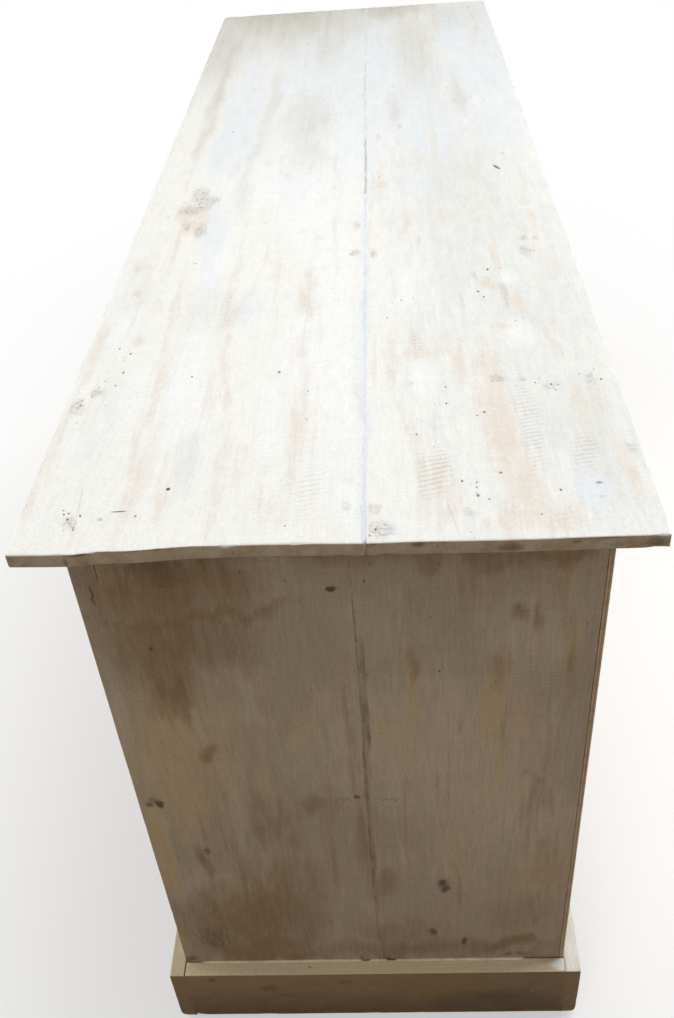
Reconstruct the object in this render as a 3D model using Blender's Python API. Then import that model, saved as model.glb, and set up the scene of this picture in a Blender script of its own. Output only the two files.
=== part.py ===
"""Plank-built TV cabinet with a limewashed finish.

A long two-board top lies on two-board ends, two partitions, a bottom board and a thin back. A face frame closes
the front: a panelled door hangs on butt hinges at each end, and an open niche with a drawer below it lies between
the doors. Plinth boards wrap the foot. Units are metres, +Z is up, the front faces -Y, and the origin is on the
floor below the middle of the top.
"""

import math

import bmesh
import bpy
from mathutils import Matrix, Vector

# Whole cabinet
TOP_LENGTH = 1.430
TOP_DEPTH = 0.450
CABINET_HEIGHT = 0.675
OVERHANG_FRONT = 0.030
OVERHANG_BACK = 0.028
OVERHANG_END = 0.029
FOOT_CLEARANCE = 0.003
FIT_GAP = 0.0003
EDGE_EASE = 0.0015

# Top
TOP_THICKNESS = 0.012
TOP_FRONT_BOARD_WIDTH = 0.2475
TOP_CORNER_RADIUS = 0.006
TOP_CORNER_STEPS = 4
BATTEN_WIDTH = 0.040
BATTEN_THICKNESS = 0.015
BATTEN_FROM_END = 0.198

# Carcass
END_THICKNESS = 0.020
END_FRONT_BOARD_WIDTH = 0.184
PARTITION_THICKNESS = 0.018
CENTRE_BAY_WIDTH = 0.522
BOTTOM_THICKNESS = 0.018
BACK_THICKNESS = 0.004
CABLE_HOLE_DIAMETER = 0.060
CABLE_HOLE_ABOVE_SHELF = 0.055
SHELF_THICKNESS = 0.018
SIDE_SHELF_HEIGHT = 0.362
NICHE_SHELF_HEIGHT = 0.280
SHELF_SETBACK = 0.012

# Face frame
FRAME_THICKNESS = 0.020
FRAME_STILE_WIDTH = 0.050
FRAME_POST_WIDTH = 0.040
FRAME_TOP_RAIL = 0.045
FRAME_BOTTOM_RAIL = 0.048
FRAME_REVEAL = 0.024
FRAME_TENON_LENGTH = 0.022
FRAME_TENON_THICKNESS = 0.007
FRAME_TENON_SHOULDER = 0.008

# Plinth
PLINTH_HEIGHT = 0.084
PLINTH_THICKNESS = 0.016
PLINTH_EASE = 0.002

# Doors
DOOR_GAP = 0.002
DOOR_STILE_WIDTH = 0.055
DOOR_TOP_RAIL = 0.055
DOOR_BOTTOM_RAIL = 0.065
DOOR_TENON_LENGTH = 0.030
DOOR_TENON_HAUNCH = 0.012
GROOVE_WIDTH = 0.006
GROOVE_DEPTH = 0.008
PANEL_PLAY = 0.001
PANEL_LIP = 0.003
PANEL_BEVEL = 0.022
PANEL_RAISE = 0.005

# Butt hinges
HINGE_FROM_DOOR_EDGE = 0.075
LEAF_HEIGHT = 0.050
LEAF_WIDTH = 0.020
LEAF_THICKNESS = 0.0015
LEAF_OPENING = 0.001
KNUCKLE_RADIUS = 0.0035
KNUCKLE_GAP = 0.0004
KNUCKLE_OFF_FACE = 0.0005
PIN_RADIUS = 0.0014
PIN_PLAY = 0.0001
PIN_HEAD_RADIUS = 0.0025
PIN_HEAD_HEIGHT = 0.0012
HINGE_SEGMENTS = 16

# Turned knobs
KNOB_REACH = 0.027
KNOB_HEAD_RADIUS = 0.0145
KNOB_HEAD_HALF_DEPTH = 0.0085
KNOB_NECK_RADIUS = 0.006
KNOB_FOOT_RADIUS = 0.009
KNOB_FOOT_DEPTH = 0.003
KNOB_SPIGOT_RADIUS = 0.004
KNOB_SPIGOT_LENGTH = 0.012
KNOB_SEGMENTS = 20
KNOB_HEAD_RINGS = 7

# Magnet catches
CATCH_WIDTH = 0.044
CATCH_BODY_WIDTH = 0.030
CATCH_DEPTH = 0.026
CATCH_HEIGHT = 0.012
CATCH_FLANGE = 0.002
CATCH_OFF_DOOR = 0.0012
CATCH_FROM_PARTITION = 0.025

# Drawer
DRAWER_BACK_CLEARANCE = 0.043
DRAWER_FRONT_THICKNESS = 0.020
DRAWER_RABBET = 0.011
DRAWER_SIDE_INSET = 0.004
DRAWER_SIDE_THICKNESS = 0.012
DRAWER_SIDE_DROP = 0.022
DRAWER_BACK_THICKNESS = 0.012
DRAWER_BOTTOM_THICKNESS = 0.005
DRAWER_BOTTOM_UP = 0.010
DRAWER_GROOVE_DEPTH = 0.005
DRAWER_SLIDE_GAP = 0.0004
GUIDE_CLEARANCE = 0.0006
GUIDE_HEIGHT = 0.020
GUIDE_BACK_CLEARANCE = 0.037

# Planes and edges that several pieces share
LEFT = -1
RIGHT = 1
HALF_LENGTH = TOP_LENGTH / 2
FRONT_EDGE = -TOP_DEPTH / 2
BACK_EDGE = TOP_DEPTH / 2
TOP_UNDER = CABINET_HEIGHT - TOP_THICKNESS
CARCASS_TOP = TOP_UNDER - FIT_GAP
END_OUTER = HALF_LENGTH - OVERHANG_END
END_INNER = END_OUTER - END_THICKNESS
FRAME_FRONT = FRONT_EDGE + OVERHANG_FRONT
FRAME_BACK = FRAME_FRONT + FRAME_THICKNESS
FRAME_MIDDLE = FRAME_FRONT + FRAME_THICKNESS / 2
CARCASS_BACK = BACK_EDGE - OVERHANG_BACK
BACK_INNER = CARCASS_BACK - BACK_THICKNESS
CARCASS_DEPTH = (FRAME_BACK + FIT_GAP, BACK_INNER - FIT_GAP)
FLOOR_LEVEL = PLINTH_HEIGHT + FRAME_REVEAL
PARTITION_INNER = CENTRE_BAY_WIDTH / 2
PARTITION_MIDDLE = PARTITION_INNER + PARTITION_THICKNESS / 2
PARTITION_OUTER = PARTITION_INNER + PARTITION_THICKNESS
POST_INNER = PARTITION_MIDDLE - FRAME_POST_WIDTH / 2
POST_OUTER = PARTITION_MIDDLE + FRAME_POST_WIDTH / 2
STILE_INNER = END_OUTER - FRAME_STILE_WIDTH
TOP_RAIL_UNDER = CARCASS_TOP - FRAME_TOP_RAIL
NICHE_SHELF_UNDER = NICHE_SHELF_HEIGHT - SHELF_THICKNESS
SIDE_SHELF_UNDER = SIDE_SHELF_HEIGHT - SHELF_THICKNESS
DOOR_INNER = POST_OUTER + DOOR_GAP
DOOR_OUTER = STILE_INNER - DOOR_GAP
DOOR_BOTTOM = FLOOR_LEVEL + DOOR_GAP
DOOR_TOP = TOP_RAIL_UNDER - DOOR_GAP
HINGE_X = STILE_INNER - DOOR_GAP / 2
HINGE_Y = FRAME_FRONT - KNUCKLE_RADIUS - KNUCKLE_OFF_FACE
HINGE_HEIGHTS = {"lower": DOOR_BOTTOM + HINGE_FROM_DOOR_EDGE, "upper": DOOR_TOP - HINGE_FROM_DOOR_EDGE}


def clear_scene():
    for obj in list(bpy.data.objects):
        bpy.data.objects.remove(obj)


def finish(name, color, roughness, metallic=0.0):
    """One plain material: a Principled BSDF with its colour, roughness and metallic value."""
    material = bpy.data.materials.new(name)
    material.use_nodes = True
    shader = material.node_tree.nodes["Principled BSDF"]
    shader.inputs["Base Color"].default_value = (*color, 1.0)
    shader.inputs["Roughness"].default_value = roughness
    shader.inputs["Metallic"].default_value = metallic
    return material


def make_finishes():
    return {
        "limewash_top": finish("limewash_top", (0.86, 0.83, 0.77), 0.55),
        "limewash_side": finish("limewash_side", (0.46, 0.40, 0.31), 0.6),
        "bare_wood": finish("bare_wood", (0.42, 0.28, 0.17), 0.65),
        "plywood": finish("plywood", (0.47, 0.34, 0.21), 0.7),
        "iron": finish("iron", (0.05, 0.045, 0.04), 0.45, 0.9),
    }


def across(side, inner, outer):
    """The x range of a piece between two distances from the cabinet's middle, on its left or right side."""
    return tuple(sorted((side * inner, side * outer)))


def middle(x, y, z):
    return Vector((sum(x) / 2, sum(y) / 2, sum(z) / 2))


def add_box(bm, x, y, z, centre=Vector()):
    size = Matrix.Diagonal((x[1] - x[0], y[1] - y[0], z[1] - z[0], 1.0))
    return bmesh.ops.create_cube(bm, matrix=Matrix.Translation(middle(x, y, z) - centre) @ size)["verts"]


def to_mesh(bm, name, smooth_angle=None):
    bmesh.ops.recalc_face_normals(bm, faces=bm.faces)
    mesh = bpy.data.meshes.new(name)
    bm.to_mesh(mesh)
    bm.free()
    if smooth_angle is not None:
        mesh.shade_smooth()
        mesh.set_sharp_from_angle(angle=math.radians(smooth_angle))
    return mesh


def place(name, mesh, location, material=None, parent=None, turn=(0.0, 0.0, 0.0)):
    """A named object at a place in the world. A parent is an empty that only moves, without turning."""
    obj = bpy.data.objects.new(name, mesh)
    bpy.context.scene.collection.objects.link(obj)
    obj.rotation_euler = turn
    obj.location = location
    if parent is not None:
        obj.parent = parent
        obj.location = Vector(location) - parent.location
    if material is not None and not mesh.materials:
        mesh.materials.append(material)
    return obj


def pivot(name, location):
    """An empty on a joint's axis, which carries the pieces that move on that joint."""
    return place(name, None, Vector(location))


def ease_edges(bm, width):
    bmesh.ops.bevel(bm, geom=bm.edges[:], offset=width, segments=1, affect="EDGES", clamp_overlap=True)


def board(name, x, y, z, material, parent=None, ease=EDGE_EASE):
    """A sawn board between two x, two y and two z values, with its arrises eased."""
    centre = middle(x, y, z)
    bm = bmesh.new()
    add_box(bm, x, y, z, centre)
    ease_edges(bm, ease)
    return place(name, to_mesh(bm, name), centre, material, parent)


def helper(name, bm):
    """A cutter or an added block: it shapes another piece and isn't a piece itself."""
    obj = place(name, to_mesh(bm, name), Vector())
    obj.hide_render = True
    obj.display_type = "WIRE"
    return obj


def combine(obj, other, operation):
    modifier = obj.modifiers.new(other.name, "BOOLEAN")
    modifier.operation = operation
    modifier.solver = "EXACT"
    modifier.object = other


def carve(obj, label, *boxes):
    """Cuts boxes that lie clear of each other out of a piece."""
    bm = bmesh.new()
    for x, y, z in boxes:
        add_box(bm, x, y, z)
    combine(obj, helper(f"{obj.name}_{label}_cutter", bm), "DIFFERENCE")


def grow(obj, label, *boxes):
    """Adds blocks that lie clear of each other to a piece."""
    bm = bmesh.new()
    for x, y, z in boxes:
        add_box(bm, x, y, z)
    combine(obj, helper(f"{obj.name}_{label}_block", bm), "UNION")


def drill(obj, label, centre, radius, length):
    """Cuts a round hole along Y, through the point given."""
    bm = bmesh.new()
    turn = Matrix.Translation(centre) @ Matrix.Rotation(math.pi / 2, 4, "X")
    bmesh.ops.create_cone(bm, cap_ends=True, segments=2 * KNOB_SEGMENTS, radius1=radius, radius2=radius,
                          depth=length, matrix=turn)
    combine(obj, helper(f"{obj.name}_{label}_cutter", bm), "DIFFERENCE")


def extruded(outline, low, high):
    """A bmesh of an outline of (x, y) points, drawn up from one height to another."""
    bm = bmesh.new()
    face = bm.faces.new([bm.verts.new((x, y, low)) for x, y in outline])
    raised = bmesh.ops.extrude_face_region(bm, geom=[face])["geom"]
    moved = [item for item in raised if isinstance(item, bmesh.types.BMVert)]
    bmesh.ops.translate(bm, verts=moved, vec=(0.0, 0.0, high - low))
    return bm


def turned(profile, segments):
    """A bmesh of a profile of (radius, height) points turned about Z, closed by a flat disc at each end."""
    bm = bmesh.new()
    rings = []
    for radius, height in profile:
        angles = [2 * math.pi * step / segments for step in range(segments)]
        rings.append([bm.verts.new((radius * math.cos(a), radius * math.sin(a), height)) for a in angles])
    for lower, upper in zip(rings, rings[1:]):
        for step in range(segments):
            after = (step + 1) % segments
            bm.faces.new((lower[step], lower[after], upper[after], upper[step]))
    bm.faces.new(rings[0])
    bm.faces.new(rings[-1])
    return bm


def make_top(finishes):
    """Two wide boards, edge to edge, with their outer corners rounded, and a batten under each end bay."""
    seam = FRONT_EDGE + TOP_FRONT_BOARD_WIDTH
    spans = {"front": (FRONT_EDGE, seam), "back": (seam + FIT_GAP, BACK_EDGE)}
    x = (-HALF_LENGTH, HALF_LENGTH)
    z = (TOP_UNDER, CABINET_HEIGHT)
    for label, y in spans.items():
        outer = FRONT_EDGE if label == "front" else BACK_EDGE
        centre = middle(x, y, z)
        bm = bmesh.new()
        add_box(bm, x, y, z, centre)
        corners = [edge for edge in bm.edges
                   if all(abs(v.co.y + centre.y - outer) < FIT_GAP for v in edge.verts)
                   and abs(edge.verts[0].co.x - edge.verts[1].co.x) < FIT_GAP]
        bmesh.ops.bevel(bm, geom=corners, offset=TOP_CORNER_RADIUS, segments=TOP_CORNER_STEPS, profile=0.5,
                        affect="EDGES")
        sharp = [edge for edge in bm.edges if edge.calc_face_angle() > math.radians(45)]
        bmesh.ops.bevel(bm, geom=sharp, offset=EDGE_EASE, segments=1, affect="EDGES")
        place(f"top_board_{label}", to_mesh(bm, label), centre, finishes["limewash_top"])
    for label, side in (("left", LEFT), ("right", RIGHT)):
        batten_middle = HALF_LENGTH - BATTEN_FROM_END
        batten_x = across(side, batten_middle - BATTEN_WIDTH / 2, batten_middle + BATTEN_WIDTH / 2)
        board(f"top_batten_{label}", batten_x, CARCASS_DEPTH, (CARCASS_TOP - BATTEN_THICKNESS, CARCASS_TOP),
              finishes["bare_wood"])


def make_end(side, label, finishes):
    """An end of two upright boards, edge to edge, from just off the floor to the underside of the top."""
    seam = FRAME_BACK + END_FRONT_BOARD_WIDTH
    x = across(side, END_INNER, END_OUTER)
    z = (FOOT_CLEARANCE, CARCASS_TOP)
    board(f"end_board_{label}_front", x, (CARCASS_DEPTH[0], seam), z, finishes["limewash_side"])
    board(f"end_board_{label}_back", x, (seam + FIT_GAP, CARCASS_DEPTH[1]), z, finishes["limewash_side"])


def make_carcass(finishes):
    """The bottom board, the partitions, the side shelves and the thin back with its cable hole."""
    board("bottom_board", (-END_INNER + FIT_GAP, END_INNER - FIT_GAP), CARCASS_DEPTH,
          (FLOOR_LEVEL - BOTTOM_THICKNESS, FLOOR_LEVEL), finishes["bare_wood"])
    for label, side in (("left", LEFT), ("right", RIGHT)):
        board(f"partition_{label}", across(side, PARTITION_INNER, PARTITION_OUTER), CARCASS_DEPTH,
              (FLOOR_LEVEL + FIT_GAP, CARCASS_TOP), finishes["bare_wood"])
        board(f"shelf_{label}", across(side, PARTITION_OUTER + FIT_GAP, END_INNER - FIT_GAP),
              (FRAME_BACK + SHELF_SETBACK, CARCASS_DEPTH[1]), (SIDE_SHELF_UNDER, SIDE_SHELF_HEIGHT),
              finishes["bare_wood"])
    back = board("back_panel", (-END_OUTER, END_OUTER), (BACK_INNER, CARCASS_BACK),
                 (FOOT_CLEARANCE, CARCASS_TOP), finishes["plywood"], ease=BACK_THICKNESS / 8)
    hole = Vector((0.0, (BACK_INNER + CARCASS_BACK) / 2, NICHE_SHELF_HEIGHT + CABLE_HOLE_ABOVE_SHELF))
    drill(back, "cable_hole", hole, CABLE_HOLE_DIAMETER / 2, 3 * BACK_THICKNESS)


def make_niche_shelf(finishes):
    """The floor of the open niche, notched round the posts so that its edge is flush with the face frame."""
    wide = PARTITION_INNER - FIT_GAP
    narrow = POST_INNER - FIT_GAP
    notch = FRAME_BACK + FIT_GAP
    right_half = [(narrow, FRAME_FRONT), (narrow, notch), (wide, notch), (wide, CARCASS_DEPTH[1])]
    left_half = [(-x, y) for x, y in reversed(right_half)]
    bm = extruded(right_half + left_half, NICHE_SHELF_UNDER, NICHE_SHELF_HEIGHT)
    ease_edges(bm, EDGE_EASE)
    place("niche_shelf", to_mesh(bm, "niche_shelf"), Vector(), finishes["bare_wood"])


def tenon_thickness():
    return (FRAME_MIDDLE - FRAME_TENON_THICKNESS / 2, FRAME_MIDDLE + FRAME_TENON_THICKNESS / 2)


def widened(span, by=FIT_GAP):
    return (span[0] - by, span[1] + by)


def make_face_frame(finishes):
    """Stiles, posts and rails in one plane, tenoned into each other, flush with the outside of the ends."""
    y = (FRAME_FRONT, FRAME_BACK)
    limewash = finishes["limewash_side"]
    rails = {
        "top": (TOP_RAIL_UNDER, CARCASS_TOP),
        "bottom": (FLOOR_LEVEL - FRAME_BOTTOM_RAIL, FLOOR_LEVEL),
    }
    shoulder = STILE_INNER - FIT_GAP
    tenon_y = tenon_thickness()
    tenon_z = {label: widened(z, -FRAME_TENON_SHOULDER) for label, z in rails.items()}
    tenon_tip = STILE_INNER + FRAME_TENON_LENGTH
    root = shoulder - FRAME_TENON_SHOULDER
    post_tenon_x = {side: across(side, POST_INNER + FRAME_TENON_SHOULDER, POST_OUTER - FRAME_TENON_SHOULDER)
                    for side in (LEFT, RIGHT)}
    post_z = (FLOOR_LEVEL + FIT_GAP, TOP_RAIL_UNDER - FIT_GAP)
    post_tips = (FLOOR_LEVEL - FRAME_TENON_LENGTH, TOP_RAIL_UNDER + FRAME_TENON_LENGTH)
    for label, z in rails.items():
        rail = board(f"frame_rail_{label}", (-shoulder, shoulder), y, z, limewash)
        grow(rail, "tenons", *[(across(side, root, tenon_tip), tenon_y, tenon_z[label]) for side in (LEFT, RIGHT)])
        tip = post_tips[0] - FIT_GAP if label == "bottom" else post_tips[1] + FIT_GAP
        edge = FLOOR_LEVEL + FIT_GAP if label == "bottom" else TOP_RAIL_UNDER - FIT_GAP
        mortise_z = tuple(sorted((tip, edge)))
        carve(rail, "mortises", *[(widened(x), widened(tenon_y), mortise_z) for x in post_tenon_x.values()])
    for label, side in (("left", LEFT), ("right", RIGHT)):
        stile = board(f"frame_stile_{label}", across(side, STILE_INNER, END_OUTER), y,
                      (FOOT_CLEARANCE, CARCASS_TOP), limewash)
        mortise_x = across(side, STILE_INNER - FIT_GAP, tenon_tip + FIT_GAP)
        carve(stile, "mortises", *[(mortise_x, widened(tenon_y), widened(z)) for z in tenon_z.values()])
        pocket_x = across(side, STILE_INNER - FIT_GAP, HINGE_X + LEAF_OPENING / 2 + LEAF_THICKNESS + FIT_GAP)
        carve(stile, "hinge_pockets", *leaf_pockets(pocket_x))
        post = board(f"frame_post_{label}", across(side, POST_INNER, POST_OUTER), y, post_z, limewash)
        grow(post, "tenons",
             (post_tenon_x[side], tenon_y, (post_tips[0], post_z[0] + FRAME_TENON_SHOULDER)),
             (post_tenon_x[side], tenon_y, (post_z[1] - FRAME_TENON_SHOULDER, post_tips[1])))


def leaf_pockets(x):
    """The shallow pocket of each hinge leaf in the edge that it is let into, open at the front."""
    y = (FRAME_FRONT - FIT_GAP, HINGE_Y + LEAF_WIDTH + FIT_GAP)
    half = LEAF_HEIGHT / 2 + FIT_GAP
    return [(x, y, (height - half, height + half)) for height in HINGE_HEIGHTS.values()]


def make_plinth(finishes):
    """Four skirting boards round the foot. The long ones run past the ends of the short ones."""
    limewash = finishes["limewash_side"]
    z = (0.0, PLINTH_HEIGHT)
    reach = END_OUTER + PLINTH_THICKNESS
    long_x = (-reach, reach)
    board("plinth_front", long_x, (FRAME_FRONT - PLINTH_THICKNESS, FRAME_FRONT - FIT_GAP), z, limewash,
          ease=PLINTH_EASE)
    board("plinth_back", long_x, (CARCASS_BACK + FIT_GAP, CARCASS_BACK + PLINTH_THICKNESS), z, limewash,
          ease=PLINTH_EASE)
    for label, side in (("left", LEFT), ("right", RIGHT)):
        board(f"plinth_{label}", across(side, END_OUTER + FIT_GAP, reach), (FRAME_FRONT, CARCASS_BACK), z, limewash,
              ease=PLINTH_EASE)


def knob_mesh():
    """A turned knob along +Z: a spigot below zero, a foot, a waisted neck and a flattened ball for a head."""
    head_middle = KNOB_REACH - KNOB_HEAD_HALF_DEPTH
    start = -math.acos(KNOB_FOOT_RADIUS / KNOB_HEAD_RADIUS)
    end = math.radians(75)
    angles = [start + (end - start) * step / (KNOB_HEAD_RINGS - 1) for step in range(KNOB_HEAD_RINGS)]
    head = [(KNOB_HEAD_RADIUS * math.cos(a), head_middle + KNOB_HEAD_HALF_DEPTH * math.sin(a)) for a in angles]
    waist = (KNOB_FOOT_DEPTH + head[0][1]) / 2
    spigot = [(KNOB_SPIGOT_RADIUS, -KNOB_SPIGOT_LENGTH), (KNOB_SPIGOT_RADIUS, FIT_GAP)]
    foot = [(KNOB_FOOT_RADIUS, FIT_GAP), (KNOB_FOOT_RADIUS, KNOB_FOOT_DEPTH)]
    tip = [(KNOB_NECK_RADIUS / 2, KNOB_REACH)]
    profile = spigot + foot + [(KNOB_NECK_RADIUS, waist)] + head + tip
    return to_mesh(turned(profile, KNOB_SEGMENTS), "knob", smooth_angle=40)


def fit_knob(name, carrier, mesh, x, z, material, parent):
    """Bores the knob's hole in the piece that carries it, and puts the knob's spigot into the hole."""
    depth = 2 * (KNOB_SPIGOT_LENGTH + FIT_GAP)
    drill(carrier, "knob_hole", Vector((x, FRAME_FRONT, z)), KNOB_SPIGOT_RADIUS + FIT_GAP, depth)
    place(name, mesh, Vector((x, FRAME_FRONT, z)), material, parent, turn=(math.pi / 2, 0.0, 0.0))


def panel_mesh(width, height):
    """A raised and fielded panel in its own frame, with its tongue round the edge and its field towards -Y."""
    tongue = GROOVE_WIDTH - 2 * FIT_GAP
    bm = bmesh.new()
    add_box(bm, (-width / 2, width / 2), (-tongue / 2, tongue / 2), (-height / 2, height / 2))
    face = min(bm.faces, key=lambda f: f.calc_center_median().y)
    in_groove = GROOVE_DEPTH - PANEL_PLAY + PANEL_LIP
    bmesh.ops.inset_region(bm, faces=[face], thickness=in_groove, depth=0.0)
    bmesh.ops.inset_region(bm, faces=[face], thickness=PANEL_BEVEL, depth=0.0)
    bmesh.ops.translate(bm, verts=face.verts[:], vec=(0.0, -PANEL_RAISE, 0.0))
    return to_mesh(bm, "door_panel")


def make_door(side, label, knob, finishes):
    """A frame of two stiles and two rails, tenoned together, with a raised panel loose in its grooves."""
    limewash = finishes["limewash_side"]
    axis = pivot(f"{label}_door_axis", (side * HINGE_X, HINGE_Y, 0.0))
    y = (FRAME_FRONT, FRAME_BACK)
    z = (DOOR_BOTTOM, DOOR_TOP)
    groove_y = (FRAME_MIDDLE - GROOVE_WIDTH / 2, FRAME_MIDDLE + GROOVE_WIDTH / 2)
    tenon_y = widened(groove_y, -FIT_GAP)
    lock_edge = DOOR_INNER + DOOR_STILE_WIDTH
    hinge_edge = DOOR_OUTER - DOOR_STILE_WIDTH
    rail_z = {"bottom": (DOOR_BOTTOM, DOOR_BOTTOM + DOOR_BOTTOM_RAIL), "top": (DOOR_TOP - DOOR_TOP_RAIL, DOOR_TOP)}
    groove_z = {"bottom": (rail_z["bottom"][1] - GROOVE_DEPTH, rail_z["bottom"][1] + FIT_GAP),
                "top": (rail_z["top"][0] - FIT_GAP, rail_z["top"][0] + GROOVE_DEPTH)}
    tenon_z = {"bottom": (DOOR_BOTTOM + DOOR_TENON_HAUNCH, groove_z["bottom"][0] - FIT_GAP),
               "top": (groove_z["top"][1] + FIT_GAP, DOOR_TOP - DOOR_TENON_HAUNCH)}
    inside_z = (rail_z["bottom"][1] - GROOVE_DEPTH, rail_z["top"][0] + GROOVE_DEPTH)

    stiles = {
        "lock": (DOOR_INNER, lock_edge, lock_edge - GROOVE_DEPTH, lock_edge + FIT_GAP, lock_edge - DOOR_TENON_LENGTH),
        "hinge": (hinge_edge, DOOR_OUTER, hinge_edge - FIT_GAP, hinge_edge + GROOVE_DEPTH,
                  hinge_edge + DOOR_TENON_LENGTH),
    }
    for role, (inner, outer, groove_from, groove_to, mortise_end) in stiles.items():
        stile = board(f"{label}_door_{role}_stile", across(side, inner, outer), y, z, limewash, axis)
        carve(stile, "groove", (across(side, groove_from, groove_to), groove_y, inside_z))
        mouth = lock_edge + FIT_GAP if role == "lock" else hinge_edge - FIT_GAP
        blind = mortise_end - FIT_GAP if role == "lock" else mortise_end + FIT_GAP
        mortise_x = across(side, mouth, blind)
        carve(stile, "mortises", *[(mortise_x, groove_y, widened(tenon_z[rail])) for rail in rail_z])
        if role == "hinge":
            pocket = HINGE_X - LEAF_OPENING / 2 - LEAF_THICKNESS - FIT_GAP
            carve(stile, "hinge_pockets", *leaf_pockets(across(side, pocket, DOOR_OUTER + FIT_GAP)))
        else:
            knob_x = side * (DOOR_INNER + DOOR_STILE_WIDTH / 2)
            fit_knob(f"{label}_door_knob", stile, knob, knob_x, (DOOR_BOTTOM + DOOR_TOP) / 2, limewash, axis)

    shoulders = (lock_edge + FIT_GAP, hinge_edge - FIT_GAP)
    for role, z_range in rail_z.items():
        rail = board(f"{label}_door_{role}_rail", across(side, *shoulders), y, z_range, limewash, axis)
        carve(rail, "groove", (widened(across(side, *shoulders), GROOVE_DEPTH), groove_y, groove_z[role]))
        grow(rail, "tenons",
             (across(side, lock_edge - DOOR_TENON_LENGTH, lock_edge + GROOVE_DEPTH), tenon_y, tenon_z[role]),
             (across(side, hinge_edge - GROOVE_DEPTH, hinge_edge + DOOR_TENON_LENGTH), tenon_y, tenon_z[role]))

    seat = GROOVE_DEPTH - PANEL_PLAY
    panel_x = across(side, lock_edge - seat, hinge_edge + seat)
    panel_z = (rail_z["bottom"][1] - seat, rail_z["top"][0] + seat)
    mesh = panel_mesh(panel_x[1] - panel_x[0], panel_z[1] - panel_z[0])
    place(f"{label}_door_panel", mesh, middle(panel_x, groove_y, panel_z), limewash, axis)
    return axis


def leaf_mesh(name, knuckles):
    """A hinge leaf about its pin's axis, on the -X side, with knuckles at the z ranges given."""
    inner = -LEAF_OPENING / 2
    outer = inner - LEAF_THICKNESS
    clear = KNUCKLE_RADIUS + KNUCKLE_GAP
    half = LEAF_HEIGHT / 2
    thin = LEAF_THICKNESS / 10
    bm = bmesh.new()
    add_box(bm, (outer, inner), (clear, LEAF_WIDTH), (-half, half))
    plate = place(name, to_mesh(bm, name), Vector())
    helpers = []
    for low, high in knuckles:
        bm = bmesh.new()
        bmesh.ops.create_cone(bm, cap_ends=True, segments=HINGE_SEGMENTS, radius1=KNUCKLE_RADIUS,
                              radius2=KNUCKLE_RADIUS, depth=high - low,
                              matrix=Matrix.Translation((0.0, 0.0, (low + high) / 2)))
        barrel = helper(f"{name}_barrel", bm)
        bm = bmesh.new()
        add_box(bm, (outer + thin, inner - thin), (0.0, clear + LEAF_THICKNESS), (low + thin, high - thin))
        strap = helper(f"{name}_strap", bm)
        combine(plate, barrel, "UNION")
        combine(plate, strap, "UNION")
        helpers += [barrel, strap]
    bm = bmesh.new()
    bmesh.ops.create_cone(bm, cap_ends=True, segments=HINGE_SEGMENTS, radius1=PIN_RADIUS + PIN_PLAY,
                          radius2=PIN_RADIUS + PIN_PLAY, depth=2 * LEAF_HEIGHT)
    bore = helper(f"{name}_bore", bm)
    combine(plate, bore, "DIFFERENCE")
    graph = bpy.context.evaluated_depsgraph_get()
    mesh = bpy.data.meshes.new_from_object(plate.evaluated_get(graph))
    for obj in [plate, bore, *helpers]:
        bpy.data.objects.remove(obj)
    mesh.name = name
    return mesh


def hinge_meshes():
    """The three pieces of a butt hinge: the frame's leaf with two knuckles, the door's with one, and the pin."""
    half = LEAF_HEIGHT / 2
    third = LEAF_HEIGHT / 6
    clear = KNUCKLE_GAP / 2
    frame_leaf = leaf_mesh("frame_leaf", [(-half, -third - clear), (third + clear, half)])
    door_leaf = leaf_mesh("door_leaf", [(-third + clear, third - clear)])
    head = half + FIT_GAP
    profile = [(PIN_RADIUS, -half), (PIN_RADIUS, head), (PIN_HEAD_RADIUS, head),
               (PIN_HEAD_RADIUS, head + PIN_HEAD_HEIGHT / 2), (PIN_RADIUS, head + PIN_HEAD_HEIGHT)]
    pin = to_mesh(turned(profile, HINGE_SEGMENTS), "hinge_pin", smooth_angle=40)
    return frame_leaf, door_leaf, pin


def make_hinges(side, label, meshes, axis, finishes):
    """Two butt hinges. A half turn about Y carries a leaf to the other side of its pin."""
    frame_leaf, door_leaf, pin = meshes
    turns = {LEFT: (0.0, 0.0, 0.0), RIGHT: (0.0, math.pi, 0.0)}
    for role, height in HINGE_HEIGHTS.items():
        where = Vector((side * HINGE_X, HINGE_Y, height))
        place(f"{label}_{role}_hinge_frame_leaf", frame_leaf, where, finishes["iron"], turn=turns[side])
        place(f"{label}_{role}_hinge_pin", pin, where, finishes["iron"])
        place(f"{label}_{role}_hinge_door_leaf", door_leaf, where, finishes["iron"], axis, turn=turns[-side])


def make_catch(side, label, finishes):
    """A magnet catch under the side shelf: a flange against the shelf and a block that reaches to the door."""
    start = PARTITION_OUTER + CATCH_FROM_PARTITION
    x = across(side, start, start + CATCH_WIDTH)
    centre = sum(x) / 2
    front = FRAME_BACK + CATCH_OFF_DOOR
    top = SIDE_SHELF_UNDER - FIT_GAP
    y = (front, front + CATCH_DEPTH)
    block_x = (centre - CATCH_BODY_WIDTH / 2, centre + CATCH_BODY_WIDTH / 2)
    catch = board(f"door_catch_{label}", block_x, y, (top - CATCH_HEIGHT, top), finishes["iron"],
                  ease=CATCH_FLANGE / 2)
    flange_y = (FRAME_BACK + SHELF_SETBACK, front + CATCH_DEPTH - CATCH_FLANGE)
    grow(catch, "flange", (x, flange_y, (top - CATCH_FLANGE, top - CATCH_FLANGE / 4)))


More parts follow.
